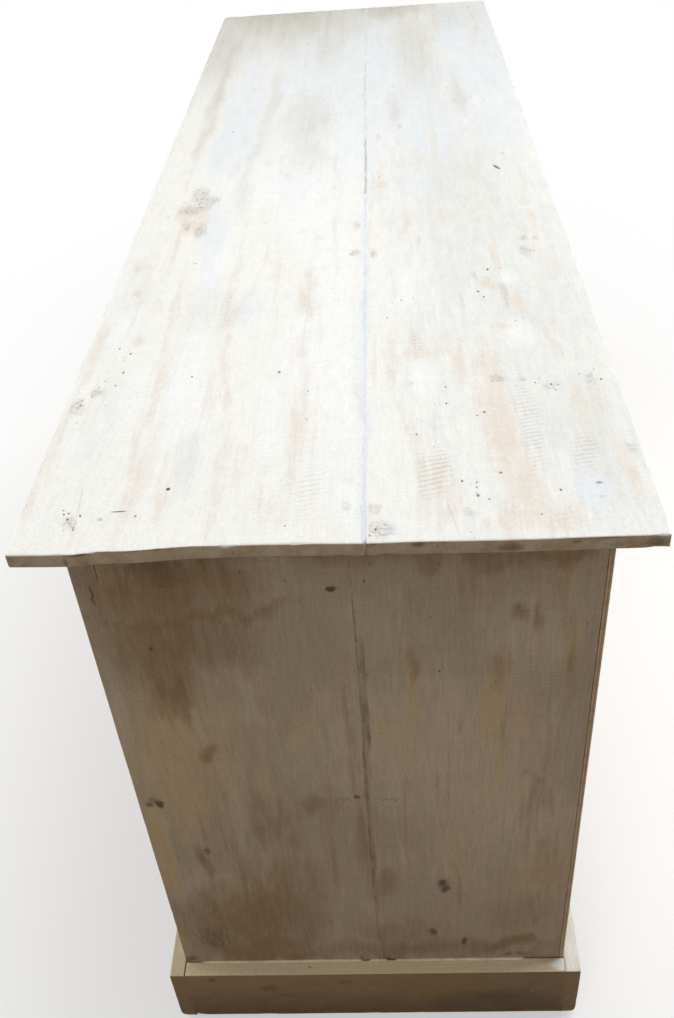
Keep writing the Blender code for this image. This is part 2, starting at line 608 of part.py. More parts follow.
def make_drawer(knob, finishes):
    """A drawer that slides on the bottom board, between two guide strips: sides rabbeted into the front."""
    bare = finishes["bare_wood"]
    axis = pivot("drawer_axis", (0.0, FRAME_FRONT, FLOOR_LEVEL))
    front_half = POST_INNER - DOOR_GAP
    side_outer = front_half - DRAWER_SIDE_INSET
    side_inner = side_outer - DRAWER_SIDE_THICKNESS
    front_y = (FRAME_FRONT, FRAME_FRONT + DRAWER_FRONT_THICKNESS)
    front_z = (FLOOR_LEVEL + DOOR_GAP, NICHE_SHELF_UNDER - DOOR_GAP)
    back_end = BACK_INNER - DRAWER_BACK_CLEARANCE
    seat = front_y[1] - DRAWER_RABBET
    side_z = (FLOOR_LEVEL + DRAWER_SLIDE_GAP, NICHE_SHELF_UNDER - DRAWER_SIDE_DROP)
    bottom_z = (side_z[0] + DRAWER_BOTTOM_UP, side_z[0] + DRAWER_BOTTOM_UP + DRAWER_BOTTOM_THICKNESS)
    groove_z = widened(bottom_z)
    groove_half = side_inner + DRAWER_GROOVE_DEPTH
    bottom_front = seat - DRAWER_GROOVE_DEPTH

    front = board("drawer_front", (-front_half, front_half), front_y, front_z, finishes["limewash_side"], axis)
    carve(front, "rabbets", *[(across(side, side_inner - FIT_GAP, front_half + FIT_GAP), (seat, front_y[1] + FIT_GAP),
                               widened(front_z)) for side in (LEFT, RIGHT)])
    carve(front, "groove", ((-groove_half, groove_half), (bottom_front, front_y[1] + FIT_GAP), groove_z))
    fit_knob("drawer_knob", front, knob, 0.0, sum(front_z) / 2, finishes["limewash_side"], axis)
    for label, side in (("left", LEFT), ("right", RIGHT)):
        wall = board(f"drawer_side_{label}", across(side, side_inner, side_outer), (seat + FIT_GAP, back_end), side_z,
                     bare, axis)
        carve(wall, "groove", (across(side, side_inner - FIT_GAP, groove_half), (seat, back_end + FIT_GAP), groove_z))
    board("drawer_back", (-side_inner + FIT_GAP, side_inner - FIT_GAP), (back_end - DRAWER_BACK_THICKNESS, back_end),
          (groove_z[1], side_z[1]), bare, axis)
    board("drawer_bottom", (-groove_half + FIT_GAP, groove_half - FIT_GAP), (bottom_front + FIT_GAP, back_end),
          bottom_z, finishes["plywood"], axis, ease=DRAWER_BOTTOM_THICKNESS / 10)
    guide_z = (FLOOR_LEVEL + FIT_GAP, FLOOR_LEVEL + FIT_GAP + GUIDE_HEIGHT)
    for label, side in (("left", LEFT), ("right", RIGHT)):
        board(f"drawer_guide_{label}", across(side, side_outer + GUIDE_CLEARANCE, PARTITION_INNER - FIT_GAP),
              (CARCASS_DEPTH[0], CARCASS_DEPTH[1] - GUIDE_BACK_CLEARANCE), guide_z, bare)


def make_cabinet():
    clear_scene()
    finishes = make_finishes()
    make_top(finishes)
    make_carcass(finishes)
    make_niche_shelf(finishes)
    make_face_frame(finishes)
    make_plinth(finishes)
    knob = knob_mesh()
    hinges = hinge_meshes()
    for label, side in (("left", LEFT), ("right", RIGHT)):
        make_end(side, label, finishes)
        axis = make_door(side, label, knob, finishes)
        make_hinges(side, label, hinges, axis, finishes)
        make_catch(side, label, finishes)
    make_drawer(knob, finishes)


make_cabinet()
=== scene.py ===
import math
import bmesh
import bpy
import numpy as np
from mathutils import Euler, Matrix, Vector, noise


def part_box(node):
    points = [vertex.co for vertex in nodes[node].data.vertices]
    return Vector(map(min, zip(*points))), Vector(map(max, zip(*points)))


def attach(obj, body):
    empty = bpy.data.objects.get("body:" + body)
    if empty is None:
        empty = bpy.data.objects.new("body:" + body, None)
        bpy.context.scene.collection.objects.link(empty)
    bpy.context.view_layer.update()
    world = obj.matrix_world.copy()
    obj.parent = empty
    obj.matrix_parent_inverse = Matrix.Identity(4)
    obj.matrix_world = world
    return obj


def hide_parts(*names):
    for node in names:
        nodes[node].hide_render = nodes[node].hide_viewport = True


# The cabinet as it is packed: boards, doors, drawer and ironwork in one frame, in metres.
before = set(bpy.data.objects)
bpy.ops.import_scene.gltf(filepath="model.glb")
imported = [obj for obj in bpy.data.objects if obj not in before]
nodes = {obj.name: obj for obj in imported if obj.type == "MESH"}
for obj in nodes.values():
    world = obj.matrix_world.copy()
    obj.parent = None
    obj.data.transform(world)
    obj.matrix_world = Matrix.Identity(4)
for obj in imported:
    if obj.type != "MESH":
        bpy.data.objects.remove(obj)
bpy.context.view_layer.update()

# The room: a pale floor that fades into a white backdrop, with soft lamps at a plain level.
# The big lamp hangs over the top, so the near end, with only a faint lamp of its own, stands in shade.
# The camera stands at the right-hand end and looks down along the top.
CAMERA_LENS = 37.07
CAMERA_PLACE = (1.2461, 0.0463, 1.1299)
CAMERA_TURN = (51.451, 3.827, 91.293)
scene = bpy.context.scene
scene.view_settings.view_transform = "Standard"
camera = bpy.data.objects.new("camera", bpy.data.cameras.new("camera"))
camera.data.lens = CAMERA_LENS
camera.location = CAMERA_PLACE
camera.rotation_euler = Euler([math.radians(turn) for turn in CAMERA_TURN])
scene.collection.objects.link(camera)
scene.camera = camera


def lamp(name, place, target, size, watts):
    """A square soft lamp, hung at a place and turned to face a target."""
    light = bpy.data.lights.new(name, "AREA")
    light.size = size
    light.energy = watts
    hung = bpy.data.objects.new(name, light)
    hung.location = place
    hung.rotation_euler = (Vector(target) - Vector(place)).to_track_quat("-Z", "Y").to_euler()
    hung.visible_camera = False
    scene.collection.objects.link(hung)


lamp("lamp_overhead", (0.1, 0.45, 2.7), (0.35, -0.1, 0.6), 1.1, 26.8)
lamp("lamp_front", (-0.5, -2.8, 0.9), (-0.1, 0.0, 0.4), 2.0, 58.0)
lamp("lamp_far_end", (-2.6, 2.0, 1.2), (-0.4, 0.2, 0.35), 1.6, 50.0)
lamp("lamp_near_end", (2.3, -0.5, 2.4), (0.7, 0.0, 0.4), 1.6, 14.0)
lamp("lamp_back", (0.2, 1.35, 0.5), (0.1, 0.2, 0.3), 0.6, 7.0)


class Finish:
    """A finish made of nodes. Each method adds what it names, and gives back the socket it comes out of."""

    def __init__(self, name, owner=None):
        self.owner = owner or bpy.data.materials.new(name)
        self.owner.use_nodes = True
        self.tree = self.owner.node_tree

    def add(self, kind, inputs, out=0, **settings):
        node = self.tree.nodes.new(kind)
        for key, value in settings.items():
            setattr(node, key, value)
        for socket, value in inputs.items():
            if isinstance(value, bpy.types.NodeSocket):
                self.tree.links.new(value, node.inputs[socket])
            else:
                node.inputs[socket].default_value = value
        return node.outputs[out]

    def join(self, socket, node, label):
        self.tree.links.new(socket, self.tree.nodes[node].inputs[label])

    def calc(self, operation, *values, clamp=False):
        return self.add("ShaderNodeMath", dict(enumerate(values)), operation=operation, use_clamp=clamp)

    def part(self, amount, factor):
        return self.calc("MULTIPLY", amount, factor)

    def laid(self, amount, factor, under):
        """An amount times a factor, laid on what is under it."""
        return self.calc("MULTIPLY_ADD", amount, factor, under)

    def most(self, one, other):
        return self.calc("MAXIMUM", one, other)

    def vector(self, operation, *values, out=0):
        return self.add("ShaderNodeVectorMath", dict(enumerate(values)), out, operation=operation)

    def split(self, vector):
        return self.add("ShaderNodeSeparateXYZ", {0: vector}, "X").node.outputs

    def fade(self, value, start, end, low=0.0, high=1.0):
        inputs = {0: value, 1: start, 2: end, 3: low, 4: high}
        return self.add("ShaderNodeMapRange", inputs, interpolation_type="SMOOTHSTEP")

    def blend(self, amount, under, over, mode="MIX"):
        return self.add("ShaderNodeMix", {0: amount, 6: under, 7: over}, 2, data_type="RGBA", blend_type=mode)

    def place(self):
        return self.add("ShaderNodeTexCoord", {}, "Object")

    def seen(self):
        """1 for what the camera, gloss or glass sees of the backdrop, 0 for what only lights the object."""
        path = self.add("ShaderNodeLightPath", {}).node.outputs
        direct = self.calc("ADD", path["Is Camera Ray"], path["Is Glossy Ray"])
        return self.calc("ADD", direct, path["Is Transmission Ray"], clamp=True)


AMBIENT = 0.24
backdrop = Finish("backdrop", bpy.data.worlds.new("backdrop"))
scene.world = backdrop.owner
backdrop.tree.nodes["Background"].inputs["Color"].default_value = (1.0, 1.0, 1.0, 1.0)
backdrop.join(backdrop.fade(backdrop.seen(), 0.0, 1.0, AMBIENT, 1.0), "Background", "Strength")

FLOOR_HALF = 9.0
FLOOR_DROP = 0.0004
FLOOR_BOUNCE = (0.44, 0.36, 0.27, 1.0)
FLOOR_SEEN = (0.93, 0.93, 0.925, 1.0)
paint = Finish("pale_floor")
reach = paint.vector("LENGTH", paint.vector("MULTIPLY", paint.place(), (0.7, 1.0, 0.0)), out="Value")
lit = paint.add("ShaderNodeBsdfDiffuse", {"Color": FLOOR_SEEN})
white = paint.add("ShaderNodeEmission", {"Strength": 1.0})
seen_floor = paint.add("ShaderNodeMixShader", {0: paint.fade(reach, 0.45, 1.3, 0.4, 1.0), 1: lit, 2: white})
bounce = paint.add("ShaderNodeBsdfDiffuse", {"Color": FLOOR_BOUNCE})
both = paint.add("ShaderNodeMixShader", {0: paint.seen(), 1: bounce, 2: seen_floor})
paint.join(both, "Material Output", "Surface")

corners = [(x * FLOOR_HALF, y * FLOOR_HALF, -FLOOR_DROP) for x, y in ((-1, -1), (1, -1), (1, 1), (-1, 1))]
floor_mesh = bpy.data.meshes.new("floor")
floor_mesh.from_pydata(corners, [], [(0, 1, 2, 3)])
floor_mesh.materials.append(paint.owner)
floor = bpy.data.objects.new("floor", floor_mesh)
scene.collection.objects.link(floor)


# The top: two wide boards laid edge to edge, sawn by hand and thickly limewashed on the upper face.
# The wash has worn to a pale peach along the grain, and dirt sits in nail holes, splits and saw marks.
# They are nailed down into the ends, the battens and the partitions.
def stations(low, high, pitch, arris):
    """Where the lattice lines of a board stand: close together at both arrises, and even between them."""
    arris = min(arris, 0.18 * (high - low))
    close = [0.0, 0.35 * arris, 0.8 * arris, 1.4 * arris, 2.3 * arris]
    return spaced(low, high, close, pitch)


def spaced(low, high, close, pitch):
    """Places from low to high: at the given steps from both ends, and about a pitch apart between them."""
    span = high - low - 2.0 * close[-1]
    count = max(1, round(span / pitch))
    between = [low + close[-1] + span * step / count for step in range(1, count)]
    return [low + step for step in close] + between + [high - step for step in reversed(close)]


def lattice(lines):
    """The points and outward faces of a box's skin, with a point wherever its lattice lines cross."""
    points = []
    found = {}
    faces = []
    for axis in range(3):
        one = (axis + 1) % 3
        two = (axis + 2) % 3
        for side in (0, len(lines[axis]) - 1):
            for i in range(len(lines[one]) - 1):
                for j in range(len(lines[two]) - 1):
                    ring = []
                    for step_i, step_j in ((0, 0), (1, 0), (1, 1), (0, 1)):
                        key = [0, 0, 0]
                        key[axis] = side
                        key[one] = i + step_i
                        key[two] = j + step_j
                        key = tuple(key)
                        if key not in found:
                            found[key] = len(points)
                            points.append(Vector([lines[a][key[a]] for a in range(3)]))
                        ring.append(found[key])
                    faces.append(ring if side else ring[::-1])
    return points, faces


def made(name, points, faces, finish, turn=False):
    """A mesh piece at the origin, in its finish. turn makes its faces look outwards."""
    mesh = bpy.data.meshes.new(name)
    mesh.from_pydata(points, [], faces)
    if turn:
        skin = bmesh.new()
        skin.from_mesh(mesh)
        bmesh.ops.recalc_face_normals(skin, faces=skin.faces[:])
        skin.to_mesh(mesh)
        skin.free()
    mesh.materials.append(finish.owner)
    piece = bpy.data.objects.new(name, mesh)
    scene.collection.objects.link(piece)
    return piece


def smooth(piece, grain, lie):
    """Smooths a piece and keeps two vectors on each of its points, for the finish to read.
    grain is its place along, across and through the timber; lie is its distance from an arris in
    millimetres, how much it is end grain, and how far it faces up."""
    for label, rows in (("grain", grain), ("lie", lie)):
        layer = piece.data.attributes.new(label, "FLOAT_VECTOR", "POINT")
        layer.data.foreach_set("vector", [value for row in rows for value in row])
    piece.data.shade_smooth()
    return piece


def held(value, low, high):
    return min(max(value, low), high)


def drawn_out(point, along, rate):
    """A point as a noise reads it, so that the noise is drawn out along the grain."""
    rates = [34.0, 34.0, 34.0]
    rates[along] = rate
    return Vector([point[axis] * rates[axis] for axis in range(3)])


GRAIN_SHIFT = Vector((7.3, 3.1, 5.7))


def plank(name, low, high, along, finish, arris, wave, pitch, seed):
    """A worn board inside the given box: arrises rounded and chipped unevenly, faces a little hollow.
    pitch is the mesh's step along the grain and across it."""
    low = Vector(low)
    high = Vector(high)
    sides = [axis for axis in range(3) if axis != along]
    steps = [pitch[0] if axis == along else pitch[1] for axis in range(3)]
    thin = min(high - low)
    shift = GRAIN_SHIFT * seed
    points, faces = lattice([stations(low[axis], high[axis], steps[axis], arris) for axis in range(3)])
    worn = []
    grain = []
    lie = []
    for point in points:
        edges = sorted(min(point[axis] - low[axis], high[axis] - point[axis]) for axis in range(3))
        chip = max(0.0, noise.noise(point * 64.0 + shift) - 0.38)
        radius = arris * (0.75 + 0.5 * noise.noise(point * 19.0 + shift) + 6.0 * chip)
        radius = held(radius, 0.2 * arris, 0.42 * thin)
        heart = Vector([held(point[axis], low[axis] + radius, high[axis] - radius) for axis in range(3)])
        out = (point - heart).normalized()
        ripple = noise.noise(drawn_out(point, along, 6.0) + shift)
        settled = heart + out * (radius - wave * (0.55 + 0.45 * ripple))
        worn.append(settled)
        grain.append(Vector((settled[along], settled[sides[0]], settled[sides[1]])) + shift)
        lie.append((1000.0 * min(edges[1], 0.03), abs(out[along]), out.z))
    return smooth(made(name, worn, faces, finish), grain, lie)


MARK_SEED = 11
noise.seed_set(MARK_SEED)


def mark(piece, flat, along, ragged, **patches):
    """Writes on a piece, under each label, how far its points lie inside soft ovals.
    An oval is (a, b, half a, half b, turn in degrees, strength), its sizes in millimetres, and runs straight
    through the axis flat. Its outline is pushed about by a noise that is drawn out along the grain."""
    push = []
    for vertex in piece.data.vertices:
        drawn = drawn_out(vertex.co, along, 11.0)
        push.append(noise.noise_vector(drawn) * 0.007 + noise.noise_vector(drawn * 2.7) * 0.004)
    push = np.array(push) * ragged
    push[:, along] *= 3.0
    spots = np.array([vertex.co for vertex in piece.data.vertices]) + push
    plane = 1000.0 * np.delete(spots, flat, axis=1)
    for label, ovals in patches.items():
        total = np.zeros(len(plane))
        for a, b, half_a, half_b, turn, strength in ovals:
            away = plane - (a, b)
            cosine = math.cos(math.radians(turn))
            sine = math.sin(math.radians(turn))
            along_oval = (away[:, 0] * cosine + away[:, 1] * sine) / half_a
            across_oval = (away[:, 1] * cosine - away[:, 0] * sine) / half_b
            inside = np.clip((1.6 - np.hypot(along_oval, across_oval)) / 1.5, 0.0, 1.0)
            total = np.maximum(total, strength * inside * inside * (3.0 - 2.0 * inside))
        layer = piece.data.attributes.new(label, "FLOAT", "POINT")
        layer.data.foreach_set("value", total.astype(np.float32))


def fit(piece, body, slot, *stands_for):
    """Gives a piece its body, and hides the CAD nodes that it stands for. slot is not used."""
    if stands_for:
        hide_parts(*stands_for)
    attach(piece, body)


class Timber(Finish):
    """A wood finish: the grain at several sizes, read along, across and through the board."""

    def read(self, label):
        return self.add("ShaderNodeAttribute", {}, "Vector", attribute_name=label)

    def marked(self, label):
        return self.add("ShaderNodeAttribute", {}, "Fac", attribute_name=label)

    def cloud(self, vector, size, detail=3.0, rough=0.55):
        scaled = self.vector("MULTIPLY", vector, size)
        inputs = {"Vector": scaled, "Scale": 1.0, "Detail": detail, "Roughness": rough}
        return self.add("ShaderNodeTexNoise", inputs, "Fac")

    def wander(self, vector, size, reach, detail):
        """The same place, pushed about by a slow noise, so that nothing laid on it runs dead straight."""
        scaled = self.vector("MULTIPLY", vector, size)
        push = self.add("ShaderNodeTexNoise", {"Vector": scaled, "Scale": 1.0, "Detail": detail}, "Color")
        return self.vector("MULTIPLY_ADD", self.vector("SUBTRACT", push, (0.5, 0.5, 0.5)), reach, vector)

    def grow(self, grain):
        self.grain = self.wander(grain, (3.0, 9.0, 9.0), (0.03, 0.012, 0.012), 4.0)
        self.fibres = self.cloud(self.grain, (28.0, 430.0, 430.0), 4.0, 0.66)
        self.streaks = self.cloud(self.grain, (2.6, 74.0, 74.0), 5.0, 0.64)
        self.bands = self.cloud(self.grain, (0.9, 17.0, 17.0), 3.0, 0.55)
        self.patchy = self.cloud(self.grain, (8.0, 46.0, 46.0), 6.0, 0.7)
        self.frayed = self.cloud(self.grain, (30.0, 150.0, 150.0), 5.0, 0.75)
        self.mottle = self.cloud(grain, (60.0, 75.0, 75.0), 6.0, 0.72)
        self.drift = self.cloud(grain, (6.0, 6.0, 6.0), 4.0, 0.6)
        self.grit = self.cloud(grain, (430.0, 430.0, 430.0), 2.0, 0.6)

    def dots(self, place, flat, marks):
        """Small sharp ovals, as in mark(), for marks too small for the lattice of the mesh."""
        total = None
        for a, b, half_a, half_b, turn, strength in marks:
            middle = [a / 1000.0, b / 1000.0]
            half = [half_a / 1000.0, half_b / 1000.0]
            middle.insert(flat, 0.0)
            half.insert(flat, 1000.0)
            turned = [0.0, 0.0, 0.0]
            turned[flat] = math.radians(turn)
            inputs = {"Vector": place, "Location": middle, "Rotation": turned, "Scale": half}
            local = self.add("ShaderNodeMapping", inputs, vector_type="TEXTURE")
            oval = self.fade(self.vector("LENGTH", local, out="Value"), 0.5, 1.3, strength, 0.0)
            total = oval if total is None else self.most(total, oval)
        return total

    def torn(self, amount, spread, start, end, fibrous=False):
        """Breaks a patch's soft edge into ragged streaks along the grain, longer ones where it is fibrous."""
        coarse = self.streaks if fibrous else self.patchy
        ragged = self.laid(self.frayed, 0.55, self.part(coarse, 0.45))
        pushed = self.laid(self.calc("SUBTRACT", ragged, 0.5), spread, amount)
        return self.fade(self.part(self.fade(amount, 0.0, 0.45), pushed), start, end)

    def specks(self, vector, size, few, radius):
        """Small dark pits, one at most in each cell; few is the share of cells left clean."""
        scaled = self.vector("MULTIPLY", vector, size)
        cell = self.add("ShaderNodeTexVoronoi", {"Vector": scaled, "Scale": 1.0}, "Distance").node
        chance = self.split(cell.outputs["Color"])
        big = self.part(chance[1], radius)
        dot = self.fade(self.calc("SUBTRACT", cell.outputs["Distance"], big), 0.05, -0.03)
        return self.part(dot, self.calc("GREATER_THAN", chance[0], few))

    def dim(self, colour, shade):
        """A colour darkened or lightened by one number, such as the shade of the fibres."""
        grey = self.add("ShaderNodeCombineXYZ", {0: shade, 1: shade, 2: shade})
        return self.blend(1.0, colour, grey, "MULTIPLY")

    def surface(self, colour, rough, height, depth, strength, shine):
        self.join(colour, "Principled BSDF", "Base Color")
        self.join(rough, "Principled BSDF", "Roughness")
        bump = self.add("ShaderNodeBump", {"Strength": strength, "Distance": depth, "Height": height})
        self.join(bump, "Principled BSDF", "Normal")
        self.tree.nodes["Principled BSDF"].inputs["Specular IOR Level"].default_value = shine


CREAM = (0.922, 0.912, 0.868, 1.0)
WARM_WHITE = (0.942, 0.938, 0.902, 1.0)
CHALK = (0.95, 0.952, 0.938, 1.0)
PEACH = (0.842, 0.765, 0.675, 1.0)
COOL_GREY = (0.765, 0.77, 0.745, 1.0)
# A bluish white for the painted reflection of the sky on the top.
PAINTED_REFLECTION_BLUE = (0.83, 0.875, 0.91, 1.0)
OLIVE_GREY = (0.63, 0.60, 0.525, 1.0)
SMUDGE = (0.36, 0.325, 0.275, 1.0)
SAW_LINE = (0.60, 0.525, 0.43, 1.0)
PIT = (0.13, 0.10, 0.075, 1.0)
EDGE_BROWN = (0.488, 0.404, 0.302, 1.0)
BARE = (0.40, 0.285, 0.175, 1.0)
TOP_WEAR = [
    (435, -219, 70, 8, 0, 1), (600, -219, 100, 6, 0, 0.7), (425, -179, 12, 10, 0, 0.7),
    (355, -170, 30, 10, 0, 0.6), (360, -158, 90, 6, 3, 0.8), (500, -152, 100, 6, 2, 0.8),
    (630, -150, 90, 6, 0, 0.9), (560, -153, 40, 8, 0, 0.6), (380, -104, 100, 5, 3, 0.7),
    (500, -93, 90, 5, 7, 0.75), (630, -85, 100, 6, 1, 0.85), (615, -74, 35, 11, 5, 0.7),
    (340, -34, 60, 10, 0, 0.9), (450, -36, 50, 6, 0, 0.5), (585, -31, 70, 13, 0, 0.6),
    (672, -42, 22, 14, 0, 0.6), (655, -122, 30, 6, 0, 0.8), (690, -180, 18, 12, 0, 0.5),
    (470, 43, 70, 8, 1, 1.3), (560, 52, 40, 6, 5, 0.8), (467, 80, 11, 26, 0, 1),
    (475, 100, 36, 7, 0, 1.2), (345, 140, 20, 12, 35, 1.2), (385, 160, 34, 7, 10, 1.1),
    (430, 140, 10, 14, 20, 1), (500, 124, 50, 10, 0, 1.2), (585, 126, 90, 16, 4, 1.5),
    (655, 137, 55, 14, 8, 1.4), (455, 182, 30, 6, 8, 1), (550, 190, 28, 6, 5, 0.9),
    (640, 211, 50, 8, 0, 1.1), (690, 140, 18, 36, 0, 1.1), (668, 80, 40, 10, 5, 1.1),
    (620, 62, 50, 5, 0, 0.7), (310, 205, 24, 5, 0, 0.7), (197, -176, 90, 4, 4, 1),
    (135, -178, 35, 10, 0, 1.2), (45, -188, 50, 5, 2, 0.9), (-45, -190, 30, 6, 0, 0.8),
    (270, -206, 14, 12, 0, 0.9), (283, 148, 40, 6, 3, 1.1), (205, 196, 30, 5, 0, 0.9),
    (149, 156, 28, 4, 0, 0.9), (160, 192, 12, 6, 0, 0.8), (200, 138, 12, 8, 0, 0.9),
    (20, 82, 45, 6, 0, 1.1), (50, 42, 40, 7, 4, 0.7), (85, 40, 12, 10, 20, 1.1), (190, 66, 35, 4, 0, 1),
    (240, 75, 30, 4, 0, 0.7), (180, 105, 30, 4, 0, 0.8), (7, -95, 10, 7, 30, 0.8),
    (36, -72, 10, 6, 30, 0.8), (20, -40, 40, 8, 0, 0.5), (-120, -58, 70, 16, 0, 0.5),
    (200, 13, 20, 4, 0, 1), (195, -104, 50, 3, 0, 0.6), (300, -104, 40, 5, 0, 0.8),
    (230, -30, 60, 6, 0, 0.4), (165, -163, 40, 18, 0, 1.3),
]
TOP_OLIVE = [
    (-730, -120, 200, 160, 0, 1.1), (-730, 60, 110, 90, 0, 1), (-540, -205, 230, 42, 0, 0.75),
    (-580, -160, 140, 28, 0, 0.5), (-590, -95, 140, 24, 0, 0.5), (-560, -40, 170, 26, 0, 0.5),
    (-500, 94, 220, 32, 0, 0.5), (-390, 108, 90, 20, 0, 0.4), (-640, 22, 90, 14, 0, 0.4),
    (-320, -186, 240, 9, 0, 0.7), (-110, -186, 110, 7, 0, 0.6), (-230, -106, 140, 9, 0, 0.4),
    (-30, -116, 140, 6, -2, 0.3), (-220, 147, 80, 8, 0, 0.45), (-150, -54, 110, 32, 0, 0.42),
    (-180, 60, 60, 10, 0, 0.45), (-660, 150, 120, 80, 0, 0.3), (100, 130, 120, 50, 0, 0.15),
]
TOP_SMUDGES = [
    (92, -166, 26, 11, 10, 1.3), (112, -155, 16, 17, 0, 1.2), (132, -168, 13, 19, 0, 1.2),
    (188, -154, 20, 7, 0, 1), (178, -172, 16, 6, 0, 0.9), (180, -83, 6, 5, 0, 0.7),
    (525, -213, 14, 6, 0, 1), (507, -202, 8, 7, 0, 0.9), (674, -188, 9, 7, 10, 1), (672, 9, 8, 5, 0, 0.9),
    (672, 30, 6, 6, 0, 0.9), (697, 35, 11, 10, 0, 1), (686, 94, 8, 6, 0, 1), (508, 129, 6, 8, 0, 1),
    (510, 150, 5, 7, 0, 0.9), (524, 170, 8, 10, 0, 0.6), (519, 204, 10, 5, 0, 0.9),
    (264, 12, 10, 7, 0, 1), (266, 30, 12, 6, 0, 1), (249, 181, 8, 5, 0, 1), (249, 192, 6, 4, 0, 0.9),
    (280, 179, 18, 7, 0, 0.8), (326, -199, 12, 4, 0, 0.9), (322, 126, 10, 4, 15, 0.9),
    (610, 218, 12, 6, 0, 0.8), (-64, 37, 22, 4, 0, 0.8), (-100, 66, 10, 5, 0, 0.8),
    (-40, -40, 30, 18, 0, 0.35), (199, 15, 10, 4, 0, 0.9), (388, 110, 40, 4, 0, 0.5),
    (360, 150, 40, 4, 0, 0.6),
]
TOP_CHALK = [
    (500, -2, 170, 24, 0, 1.2), (420, -16, 120, 32, 0, 1.3), (500, -125, 90, 16, 2, 1.1),
    (345, 60, 50, 10, 0, 1), (500, 72, 35, 10, 0, 1.2), (660, 10, 40, 16, 0, 1), (440, 152, 30, 16, 0, 1),
    (80, -90, 70, 20, 0, 1.1), (130, -40, 120, 40, 0, 1.2), (0, 3, 160, 14, 0, 1),
    (330, 158, 20, 10, 0, 0.9), (280, -130, 80, 18, 0, 1), (640, 165, 30, 10, 0, 0.7),
    (300, -10, 140, 22, 0, 1.2), (-90, -85, 80, 14, 0, 0.8), (560, -55, 60, 12, 0, 0.8),
    (-80, -10, 120, 14, 0, 1), (50, -135, 60, 12, 0, 1), (400, -197, 45, 14, 0, 1.1),
]
TOP_HAZE = [
    (250, 135, 600, 105, 0, 0.85), (400, 160, 240, 90, 0, 0.9), (590, 185, 150, 60, 0, 1),
    (220, 130, 260, 100, 0, 0.9), (360, -130, 70, 30, 0, 0.6), (620, -112, 45, 16, 0, 0.8),
    (20, 130, 200, 90, 0, 0.9), (330, -195, 160, 30, 0, 0.5), (-20, -45, 60, 34, 0, 0.8),
    (110, -115, 80, 12, 0, 0.7), (-200, 120, 200, 80, 0, 0.8), (180, 50, 120, 14, 0, 0.7),
    (560, -190, 120, 20, 0, 0.5),
]
# Painted reflection: bluish-white patches, most of them far along the top, paint the sky's reflection on the
# wash as colour.
TOP_PAINTED_REFLECTION = [
    (-300, 0, 420, 200, 0, 0.75), (-330, 20, 420, 110, 0, 0.9), (-350, 190, 420, 70, 0, 0.9),
    (-160, -140, 260, 40, 0, 0.95), (365, -85, 45, 16, 0, 0.8), (665, 182, 26, 12, 0, 1.2),
    (210, -135, 90, 14, 0, 0.8), (90, 80, 80, 50, 0, 0.7), (400, 21, 330, 4, 0, 0.9),
    (690, 44, 24, 3, 0, 0.9), (-60, 110, 120, 50, 0, 0.8), (40, -60, 120, 30, 0, 0.6),
    (330, -125, 50, 14, 0, 0.6), (-80, -155, 150, 18, 0, 1.2), (0, 28, 170, 6, 0, 1),
    (-100, 105, 140, 40, 0, 1), (160, -145, 90, 12, 0, 0.9), (-420, 46, 230, 16, 0, 1.2),
    (-420, 0, 230, 14, 0, 1.2), (-380, -75, 160, 14, 0, 1), (-300, -140, 160, 20, 0, 1),
    (-520, 160, 200, 40, 0, 1),
]
TOP_SAWN = [
    (580, 147, 85, 13, 0, 1), (640, 73, 32, 15, 0, 1), (625, 184, 34, 13, 0, 0.9),
    (372, -106, 36, 13, 0, 0.9), (372, -30, 30, 18, 12, 0.8), (450, 68, 30, 10, 0, 0.8),
    (690, 165, 20, 36, 0, 0.6), (380, 130, 32, 10, 0, 0.7), (650, -20, 50, 30, 0, 0.6),
    (545, 205, 30, 12, 0, 0.6), (665, -60, 30, 20, 0, 0.5),
]
TOP_HOLES = [
    (644, -121, 1.7, 1.6, 0, 1), (487, -50, 1.3, 1.2, 0, 1), (488, -124, 1.1, 1, 0, 0.8),
    (668, -153, 0.6, 5.6, 2, 0.9), (561, 115, 1.2, 1, 0, 0.9), (565, 109, 0.8, 0.8, 0, 0.8),
    (55, 173, 8.5, 2, 24, 0.8), (640, 120, 1.3, 1.2, 0, 0.7), (656, 187, 1.5, 2.2, 0, 0.6),
    (674, -140, 1, 1, 0, 0.7), (686, -182, 3, 0.9, 4, 0.5), (654, -184, 24, 0.6, 5, 0.14),
    (12, 184, 4, 1, 0, 0.4), (690, 83, 20, 0.6, 10, 0.14),
]
TOP_PITTED = [
    (375, 50, 45, 18, 0, 0.6), (570, 80, 36, 12, -14, 1), (670, 98, 30, 10, 0, 1),
    (522, 170, 10, 22, 0, 0.9), (345, 140, 40, 14, 0, 0.6), (460, -183, 14, 8, 0, 0.8),
    (525, -208, 22, 10, 0, 1), (673, -187, 14, 10, 0, 0.9), (518, 205, 12, 10, 0, 1),
    (690, 30, 20, 12, 0, 0.8), (255, 185, 20, 12, 0, 0.8), (110, -165, 30, 20, 0, 0.6),
    (500, -195, 60, 20, 0, 0.3), (660, 180, 20, 12, 0, 0.5),
]
